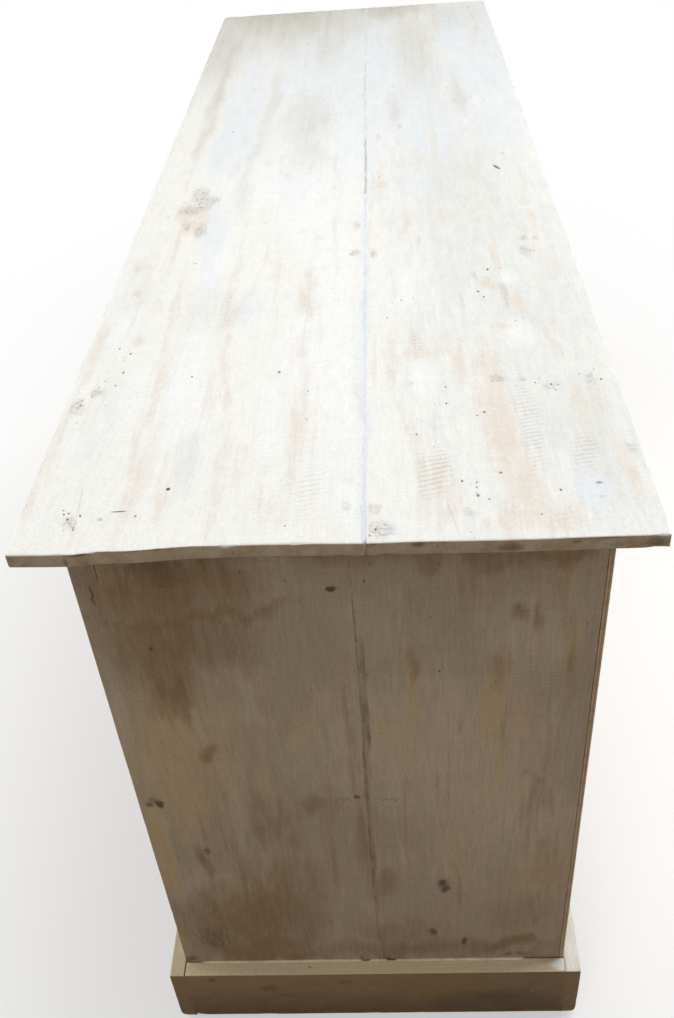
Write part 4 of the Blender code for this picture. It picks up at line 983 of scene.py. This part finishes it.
def raised_panel(name, low, high, finish, seed):
    """A panel whose border slopes up to a small step round the flat field; its rim sits in the grooves."""
    insets = [inset / 1000.0 for inset in PANEL_INSET]
    across = spaced(low.x, high.x, insets, PANEL_PITCH)
    upwards = spaced(low.z, high.z, insets, PANEL_PITCH)
    points, faces = lattice([across, [low.y, high.y], upwards])
    shift = GRAIN_SHIFT * seed
    grain = []
    lie = []
    for point in points:
        inset = 1000.0 * min(point.x - low.x, high.x - point.x, point.z - low.z, high.z - point.z)
        from_arris = 30.0
        if point.y < low.y + 0.0001:
            rise = float(np.interp(inset, PANEL_INSET, PANEL_RISE))
            hollow = 0.00012 * (1.0 + noise.noise(Vector((point.x * 40.0, 0.0, point.z * 7.0)) + shift))
            point.y = low.y + (PANEL_RISE[-1] - rise) / 1000.0 + hollow
            from_arris = max(abs(inset - FIELD_EDGE), abs(inset - GROOVE_EDGE) * 0.9)
        grain.append(Vector((point.z, point.x, point.y)) + shift)
        lie.append((from_arris, 0.0, 0.0))
    return smooth(made(name, points, faces, finish), grain, lie)


hinge_side = (DOOR[1] - DOOR_STILE, DOOR[1])
lock_side = (DOOR[0], DOOR[0] + DOOR_STILE)
between = (lock_side[1], hinge_side[0])
door_boards = [
    ("hinge_stile", hinge_side, DOOR_TALL, 2),
    ("lock_stile", lock_side, DOOR_TALL, 2),
    ("top_rail", between, (DOOR_TALL[1] - DOOR_RAIL_TOP, DOOR_TALL[1]), 0),
    ("bottom_rail", between, (DOOR_TALL[0], DOOR_TALL[0] + DOOR_RAIL_BOTTOM), 0),
]
for body, sign, seed in (("left_door", -1.0, 20.0), ("right_door", 1.0, 30.0)):
    for number, (label, wide, tall, along) in enumerate(door_boards):
        label = body + "_" + label
        wide = sorted(sign * edge for edge in wide)
        board = front_board(label + "_worn", wide, tall, along, board_wash, DOOR_ARRIS, seed + number)
        if label.endswith("lock_stile"):
            hand = 1000.0 * sign * KNOB_FROM_MIDDLE
            mark(board, 1, 2, 0.8, tan=[(hand, 365, 26, 70, 0, 1.0)], stain=[(hand, 350, 18, 40, 0, 0.6)])
        fit(board, body, "limewash_side", label)
    low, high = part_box(body + "_panel")
    panel = raised_panel(body + "_panel_fielded", low, high, board_wash, seed + 5.0)
    fit(panel, body, "limewash_side", body + "_panel")


# The drawer: a plank front under the niche, nailed to sides that run on strips along the bottom board.
# Its sides and back are bare sawn boards, and its bottom is thin plywood slid into a groove.
low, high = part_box("drawer_front")
board = plank("drawer_front_worn", low, high, 0, board_wash, DOOR_ARRIS, FRONT_WAVE, FRONT_PITCH, 41.0)
mark(board, 1, 0, 0.8, tan=[(0, 188, 90, 34, 0, 1.0)], stain=[(0, 176, 50, 24, 0, 0.6)])
fit(board, "drawer", "limewash_side", "drawer_front")

SAWN_PALE = (0.50, 0.35, 0.205, 1.0)
SAWN_DARK = (0.315, 0.195, 0.105, 1.0)
RING = 0.0065
HEART = (0.0, 0.04, -0.06)


def bare_timber(name, along, washed_front=None):
    """Unfinished sawn wood for a node of the frame: growth rings round a heart below the board, and fibres.
    washed_front is the Y at which an edge reaches the front and has taken the limewash."""
    wood = Timber(name)
    x, y, z = wood.split(wood.place())[:3]
    order = ((x, y, z), (y, x, z), (z, x, y))[along]
    wood.grow(wood.add("ShaderNodeCombineXYZ", dict(enumerate(order))))
    from_heart = wood.vector("MULTIPLY", wood.vector("SUBTRACT", wood.grain, HEART), (0.03, 1.0, 1.0))
    radius = wood.vector("LENGTH", from_heart, out="Value")
    phase = wood.laid(radius, 2.0 * math.pi / RING, wood.part(wood.drift, 5.0))
    rings = wood.fade(wood.calc("SINE", phase), -0.2, 1.0)
    colour = wood.blend(wood.fade(wood.bands, 0.35, 0.65), SAWN_PALE, SAWN_DARK)
    colour = wood.blend(wood.part(rings, 0.17), colour, SAWN_DARK)
    colour = wood.blend(wood.fade(wood.streaks, 0.55, 0.75, 0.0, 0.4), colour, SAWN_DARK)
    pits = wood.specks(wood.grain, (50.0, 160.0, 160.0), 0.96, 0.14)
    colour = wood.blend(wood.part(pits, 0.7), colour, GRIME_AND_SHADE)
    colour = wood.dim(colour, wood.fade(wood.fibres, 0.25, 0.75, 0.84, 1.08))
    if washed_front is not None:
        wash_tone = wood.blend(wood.fade(wood.patchy, 0.4, 0.62), WASH_GREY, WASH_PALE)
        wash_tone = wood.blend(wood.fade(wood.streaks, 0.5, 0.7, 0.0, 0.6), wash_tone, WOOD_BROWN)
        colour = wood.blend(wood.fade(y, washed_front + 0.002, washed_front + 0.001), colour, wash_tone)
    relief = wood.laid(wood.fibres, 0.7, wood.part(wood.mottle, 0.4))
    wood.surface(colour, wood.fade(wood.streaks, 0.3, 0.7, 0.62, 0.8), relief, 0.0007, 0.7, 0.2)
    return wood


bare_along_x = bare_timber("bare_wood_lengthways", 0)
bare_along_y = bare_timber("bare_wood_crossways", 1)
bare_along_z = bare_timber("bare_wood_upright", 2)

PLY_PALE = (0.56, 0.42, 0.27, 1.0)
PLY_DARK = (0.40, 0.275, 0.16, 1.0)
PLY_MIDDLE = (0.27, 0.175, 0.095, 1.0)


def plies(name, axis, middle, ply):
    """Rotary-cut plywood: a wide wavy figure on the faces, and the dark middle ply where an edge is cut."""
    sheet = Timber(name)
    x, y, z = sheet.split(sheet.place())[:3]
    order = ((y, z, x), (x, z, y), (x, y, z))[axis]
    sheet.grow(sheet.add("ShaderNodeCombineXYZ", dict(enumerate(order))))
    figure = sheet.cloud(sheet.grain, (1.3, 9.0, 0.5), 3.0, 0.5)
    contour = sheet.fade(sheet.calc("SINE", sheet.part(figure, 75.0)), -0.4, 1.0)
    colour = sheet.blend(sheet.part(contour, 0.45), PLY_PALE, PLY_DARK)
    through = sheet.calc("ABSOLUTE", sheet.calc("SUBTRACT", order[2], middle))
    colour = sheet.blend(sheet.fade(through, ply * 0.55, ply * 0.45, 0.0, 0.6), colour, PLY_MIDDLE)
    colour = sheet.dim(colour, sheet.fade(sheet.fibres, 0.25, 0.75, 0.88, 1.06))
    sheet.surface(colour, sheet.fade(sheet.mottle, 0.3, 0.7, 0.6, 0.75), sheet.fibres, 0.0004, 0.6, 0.2)
    return sheet


def dress(finish, *labels):
    """Puts a finish on CAD nodes whose shape is right as it is."""
    for label in labels:
        nodes[label].material_slots[0].material = finish.owner


dress(bare_along_y, "drawer_side_left", "drawer_side_right", "drawer_guide_left", "drawer_guide_right")
dress(bare_along_x, "drawer_back")
dress(plies("drawer_plywood", 2, 0.1209, 0.0017), "drawer_bottom")


# The knobs: turned from one piece of wood on a lathe, limewashed with the doors and worn bare on the crown.
# A spigot on the foot is glued into a hole in the stile or the drawer front.
KNOB_PROFILE = [
    (-3.0, 3.9), (-0.5, 4.0), (-0.4, 8.8), (0.3, 9.2), (1.4, 9.4), (2.4, 9.15), (3.0, 8.4), (3.5, 7.5),
    (4.6, 6.7), (6.2, 6.2), (8.0, 6.1), (9.6, 6.6), (11.0, 7.9), (12.3, 9.9), (13.7, 11.8), (15.3, 13.3),
    (17.0, 14.1), (18.8, 14.25), (20.5, 13.8), (22.1, 12.6), (23.5, 10.9), (24.8, 8.6), (25.8, 6.2),
    (26.5, 3.8), (26.85, 1.8),
]
KNOB_WIDEST = 14.28
KNOB_FOOT = -3.0
KNOB_CROWN = 27.0
KNOB_SIDES = 40
KNOBS = [
    ("left_door", -KNOB_FROM_MIDDLE, 0.36285, 51.0),
    ("right_door", KNOB_FROM_MIDDLE, 0.36285, 52.0),
    ("drawer", 0.0, 0.185, 53.0),
]


def turned_knob(name, x, z, seed):
    """A lathe-turned knob on the front, its axis along Y, closed at both ends."""
    points = []
    outs = []
    for out, radius in KNOB_PROFILE:
        for step in range(KNOB_SIDES):
            angle = 2.0 * math.pi * step / KNOB_SIDES
            cosine = math.cos(angle)
            sine = math.sin(angle)
            uneven = noise.noise((cosine * 2.0, out * 0.2, sine * 2.0 + seed))
            wide = min(radius * (1.0 + 0.012 * uneven), KNOB_WIDEST) / 1000.0
            points.append(Vector((x + wide * cosine, FRAME_DEPTH[0] - out / 1000.0, z + wide * sine)))
            outs.append(out)
    foot = len(points)
    crown = foot + 1
    for out in (KNOB_FOOT, KNOB_CROWN):
        points.append(Vector((x, FRAME_DEPTH[0] - out / 1000.0, z)))
        outs.append(out)
    last = foot - KNOB_SIDES
    faces = []
    for ring in range(0, last, KNOB_SIDES):
        for step in range(KNOB_SIDES):
            a = ring + step
            b = ring + (step + 1) % KNOB_SIDES
            faces.append((a, b, b + KNOB_SIDES, a + KNOB_SIDES))
    for step in range(KNOB_SIDES):
        following = (step + 1) % KNOB_SIDES
        faces.append((foot, following, step))
        faces.append((crown, last + step, last + following))
    grain = [Vector((point.y, point.x, point.z)) + GRAIN_SHIFT * seed for point in points]
    lie = [(abs(out - 23.0) * 0.5 if out > 15.0 else abs(out - 2.0) + 1.5, 0.0, 0.0) for out in outs]
    return smooth(made(name, points, faces, board_wash), grain, lie)


for body, x, z, seed in KNOBS:
    knob = turned_knob(body + "_knob_turned", x, z, seed)
    fit(knob, body, "limewash_side", body + "_knob")


# The inside: partitions, shelves, battens and the bottom, left as bare sawn boards, housed and nailed.
# The back is one sheet of thin plywood, sprigged on all round, with a hole cut for cables behind the niche.
dress(bare_along_z, "partition_left", "partition_right")
dress(bare_along_x, "bottom_board", "shelf_left", "shelf_right")
dress(bare_timber("bare_wood_niche", 0, FRAME_DEPTH[0]), "niche_shelf")
dress(bare_along_y, "top_batten_left", "top_batten_right")
dress(plies("back_plywood", 1, 0.195, 0.0014), "back_panel")


# The ironwork: butt hinges let into the doors and the frame, magnet catches under the shelves, strike plates.
# All of it is plain iron, blackened by heat and a little rusty where it rubs.
IRON_BLACK = (0.055, 0.05, 0.046, 1.0)
IRON_RUST = (0.14, 0.065, 0.03, 1.0)
IRON_RUBBED = (0.16, 0.155, 0.15, 1.0)
iron = Timber("blackened_iron")
iron.grow(iron.place())
tone = iron.blend(iron.part(iron.fade(iron.mottle, 0.52, 0.75), 0.5), IRON_BLACK, IRON_RUST)
tone = iron.blend(iron.fade(iron.grit, 0.5, 0.75, 0.0, 0.35), tone, IRON_RUBBED)
iron.surface(tone, iron.fade(iron.mottle, 0.3, 0.7, 0.38, 0.62), iron.mottle, 0.0003, 0.6, 0.5)
iron.tree.nodes["Principled BSDF"].inputs["Metallic"].default_value = 0.75
for side in ("left", "right"):
    dress(iron, "door_catch_" + side)
    for height in ("lower", "upper"):
        label = side + "_" + height + "_hinge_"
        dress(iron, label + "frame_leaf", label + "door_leaf", label + "pin")

STRIKE_PLATE = (0.312, 0.340)
PLATE_ARRIS = 0.0002
PLATE_WAVE = 0.00001
PLATE_PITCH = (0.003, 0.003)
for side, sign in (("left", -1.0), ("right", 1.0)):
    edges = sorted(sign * edge for edge in STRIKE_PLATE)
    low = (edges[0], -0.1756, 0.3322)
    high = (edges[1], -0.1743, 0.3432)
    plate = plank(side + "_strike_plate", low, high, 0, iron, PLATE_ARRIS, PLATE_WAVE, PLATE_PITCH, 60.0)
    fit(plate, side + "_door", "iron")


# The fixings: nails in the top, the ends, the plinth and the back, screws in the hinges, pegs in the joints.
# Each kind is one small head, set on marked places and turned to face out of the wood.
class Tree(Finish):
    """Geometry Nodes, put together with the same methods as a finish."""

    def __init__(self, name):
        self.tree = bpy.data.node_groups.new(name, "GeometryNodeTree")

    def socket(self, label, kind, value=None, way="INPUT"):
        item = self.tree.interface.new_socket(label, in_out=way, socket_type="NodeSocket" + kind)
        if value is not None:
            item.default_value = value


def heads_tree(name, sides, slotted):
    """Sets a low round head, slotted for a screw, on every point of a mesh, facing the point's 'out'."""
    heads = Tree(name)
    heads.socket("Places", "Geometry")
    heads.socket("Head radius", "Float", 0.002)
    heads.socket("Head height", "Float", 0.0004)
    heads.socket("Slot width", "Float", 0.0008)
    heads.socket("Seed", "Int", 4)
    heads.socket("Finish", "Material")
    heads.socket("Heads", "Geometry", way="OUTPUT")
    given = heads.add("NodeGroupInput", {}).node.outputs
    radius = given["Head radius"]
    height = given["Head height"]
    cone = {"Vertices": sides, "Side Segments": 1, "Fill Segments": 1, "Radius Bottom": radius}
    cone.update({"Radius Top": heads.part(radius, 0.72), "Depth": height})
    head = heads.add("GeometryNodeMeshCone", cone, "Mesh")
    if slotted:
        size = {0: heads.part(radius, 3.0), 1: given["Slot width"], 2: height}
        size = heads.add("ShaderNodeCombineXYZ", size)
        raised = heads.add("ShaderNodeCombineXYZ", {2: heads.part(height, 0.85)})
        cutter = heads.add("GeometryNodeMeshCube", {"Size": size}, "Mesh")
        cutter = heads.add("GeometryNodeTransform", {"Geometry": cutter, "Translation": raised}, "Geometry")
        both = {"Mesh 1": head, "Mesh 2": cutter}
        head = heads.add("GeometryNodeMeshBoolean", both, "Mesh", operation="DIFFERENCE")
    out = heads.add("GeometryNodeInputNamedAttribute", {"Name": "out"}, "Attribute", data_type="FLOAT_VECTOR")
    facing = heads.add("FunctionNodeAlignRotationToVector", {"Vector": out}, "Rotation", axis="Z")
    inputs = {"Points": given["Places"], "Instance": head, "Rotation": facing}
    spread = heads.add("GeometryNodeInstanceOnPoints", inputs, "Instances")
    inputs = {0: (0.0, 0.0, 0.0), 1: (0.0, 0.0, 6.28), "Seed": given["Seed"]}
    spin = heads.add("FunctionNodeRandomValue", inputs, data_type="FLOAT_VECTOR")
    inputs = {"Instances": spread, "Rotation": spin, "Local Space": True}
    spread = heads.add("GeometryNodeRotateInstances", inputs, "Instances")
    real = heads.add("GeometryNodeRealizeInstances", {"Geometry": spread}, "Geometry")
    done = heads.add("GeometryNodeSetMaterial", {"Geometry": real, "Material": given["Finish"]}, "Geometry")
    heads.tree.links.new(done, heads.tree.nodes.new("NodeGroupOutput").inputs["Heads"])
    return heads.tree


nail_tree = heads_tree("nail_heads", 12, False)
screw_tree = heads_tree("screw_heads", 16, True)


def driven(name, tree, places, body, slot, finish, size, seed):
    """Runs a tree over places given as (point, outward direction), and keeps the result as a plain mesh.
    size is the radius and the height of a head."""
    mesh = bpy.data.meshes.new(name + "_places")
    mesh.from_pydata([point for point, out in places], [], [])
    layer = mesh.attributes.new("out", "FLOAT_VECTOR", "POINT")
    layer.data.foreach_set("vector", [value for point, out in places for value in out])
    piece = bpy.data.objects.new(name, mesh)
    scene.collection.objects.link(piece)
    modifier = piece.modifiers.new("heads", "NODES")
    modifier.node_group = tree
    sockets = {item.name: item.identifier for item in tree.interface.items_tree if item.in_out == "INPUT"}
    modifier[sockets["Head radius"]] = size[0]
    modifier[sockets["Head height"]] = size[1]
    modifier[sockets["Seed"]] = seed
    modifier[sockets["Finish"]] = finish.owner
    plain = bpy.data.meshes.new_from_object(piece.evaluated_get(bpy.context.evaluated_depsgraph_get()))
    piece.modifiers.remove(modifier)
    piece.data = plain
    fit(piece, body, slot)


def nail_finish(name, dark, pale, rough, shine):
    """The head of a nail, in two tones."""
    head = Timber(name)
    head.grow(head.place())
    tone = head.blend(head.fade(head.mottle, 0.4, 0.62), dark, pale)
    head.surface(tone, head.fade(head.grit, 0.3, 0.7, rough, rough + 0.2), head.mottle, 0.0004, 0.8, shine)
    return head


TOP_NAIL = (0.0024, 0.0005)
NAIL = (0.0019, 0.0005)
SCREW = (0.0027, 0.0003)
FRAME_PEG = (0.0034, 0.0006)
DOOR_PEG = (0.0030, 0.0006)
UP = (0.0, 0.0, 1.0)
FRONT = (0.0, -1.0, 0.0)
BACK = (0.0, 1.0, 0.0)
TOP_NAILS = [
    (676, -165), (674, 9), (672, 31), (686, 94), (672, 186), (509, 150), (518, 204), (509, -205),
    (514, 60), (266, 9), (266, 30), (250, 182), (268, -150), (270, 120), (-270, -180), (-272, -60),
    (-268, 60), (-271, 190), (-517, -190), (-512, -70), (-519, 60), (-515, 195), (-676, -185),
    (-674, -60), (-677, 12), (-675, 110), (-676, 195),
]
NAIL_TOP = 0.6744
filled = nail_finish("limewashed_nail", (0.56, 0.53, 0.47, 1.0), (0.82, 0.805, 0.76, 1.0), 0.55, 0.25)
top_places = [((x / 1000.0, y / 1000.0, NAIL_TOP), UP) for x, y in TOP_NAILS]
driven("top_nails", nail_tree, top_places, "carcass", "iron", filled, TOP_NAIL, 3)

END_FACE = 0.68565
PLINTH_FACE = 0.70175
BACK_FACE = 0.1971
places = []
for sign in (-1.0, 1.0):
    for y in (-0.1785, 0.0005):
        places.append(((sign * END_FACE, y, 0.3595), (sign, 0.0, 0.0)))
    for y in (-0.160, -0.010, 0.165):
        places.append(((sign * PLINTH_FACE, y, 0.046), (sign, 0.0, 0.0)))
for step in range(9):
    x = -0.64 + 0.16 * step
    places.append(((x, -0.21075, 0.050), FRONT))
    places.append(((x, 0.21275, 0.050), BACK))
for step in range(12):
    x = -0.66 + 0.12 * step
    places.append(((x, BACK_FACE, 0.650), BACK))
    places.append(((x, BACK_FACE, 0.099), BACK))
for step in range(4):
    for x in (-0.676, -0.270, 0.270, 0.676):
        places.append(((x, BACK_FACE, 0.19 + 0.12 * step), BACK))
rusted = nail_finish("rusted_nail", (0.13, 0.085, 0.05, 1.0), (0.27, 0.195, 0.125, 1.0), 0.6, 0.3)
driven("nails", nail_tree, places, "carcass", "iron", rusted, NAIL, 4)

HINGE_HEIGHTS = (0.185, 0.5407)
HINGE_SCREWS = ((-0.1895, -0.017), (-0.1845, 0.0), (-0.1895, 0.017))
DOOR_LEAF = 0.63452
FRAME_LEAF = 0.63548
for side, sign in (("left", -1.0), ("right", 1.0)):
    door_screws = []
    frame_screws = []
    for middle in HINGE_HEIGHTS:
        for y, rise in HINGE_SCREWS:
            door_screws.append(((sign * DOOR_LEAF, y, middle + rise), (sign, 0.0, 0.0)))
            frame_screws.append(((sign * FRAME_LEAF, y, middle + rise), (-sign, 0.0, 0.0)))
    for x in (0.316, 0.336):
        door_screws.append(((sign * x, -0.1743, 0.3377), BACK))
    driven(side + "_door_screws", screw_tree, door_screws, side + "_door", "iron", iron, SCREW, 7)
    driven(side + "_frame_screws", screw_tree, frame_screws, "carcass", "iron", iron, SCREW, 8)

PEG_FACE = -0.1949
PEG_HEIGHTS = (0.130, 0.156, 0.577, 0.600)
pegs = []
for sign in (-1.0, 1.0):
    for x, upper, lower in ((0.651, 0.640, 0.094), (0.668, 0.640, 0.094), (0.270, 0.634, 0.096)):
        pegs.append(((sign * x, PEG_FACE, upper), FRONT))
        pegs.append(((sign * x, PEG_FACE, lower), FRONT))
driven("frame_pegs", nail_tree, pegs, "carcass", "limewash_side", bare_along_y, FRAME_PEG, 5)
for body, sign in (("left_door", -1.0), ("right_door", 1.0)):
    pegs = [((sign * x, PEG_FACE, z), FRONT) for x in (0.3195, 0.6065) for z in PEG_HEIGHTS]
    driven(body + "_pegs", nail_tree, pegs, body, "limewash_side", bare_along_y, DOOR_PEG, 6)


# The corrugated fasteners: wavy strips of steel, hammered in across the seam of each end at shelf height.
# Only their upper edges show, flush with the boards and rusted dark.
FASTENER_STEPS = 30
FASTENER_WAVE = 0.0058
FASTENER_SECTION = ((0.6845, -0.00035), (0.6859, -0.00035), (0.6859, 0.00035), (0.6845, 0.00035))


def wavy_fastener(name, sign, start, end, height):
    """A thin wavy strip on an end, between two places across the boards, standing just proud of the face."""
    points = []
    for step in range(FASTENER_STEPS + 1):
        y = start + (end - start) * step / FASTENER_STEPS
        z = height + 0.0016 * math.sin((y - start) / FASTENER_WAVE * 2.0 * math.pi)
        z += 0.0008 * noise.noise((y * 200.0, 0.0, sign))
        points += [(sign * x, y, z + rise) for x, rise in FASTENER_SECTION]
    last = FASTENER_STEPS * 4
    faces = [(3, 2, 1, 0), (last, last + 1, last + 2, last + 3)]
    for step in range(0, last, 4):
        for lane in range(4):
            a = step + lane
            b = step + (lane + 1) % 4
            faces.append((a, b, b + 4, a + 4))
    fit(made(name, points, faces, rusted, True), "carcass", "iron")


for side, sign in (("left", -1.0), ("right", 1.0)):
    wavy_fastener(side + "_fastener_front", sign, -0.0165, -0.0055, 0.3575)
    wavy_fastener(side + "_fastener_back", sign, 0.0175, 0.0375, 0.3560)
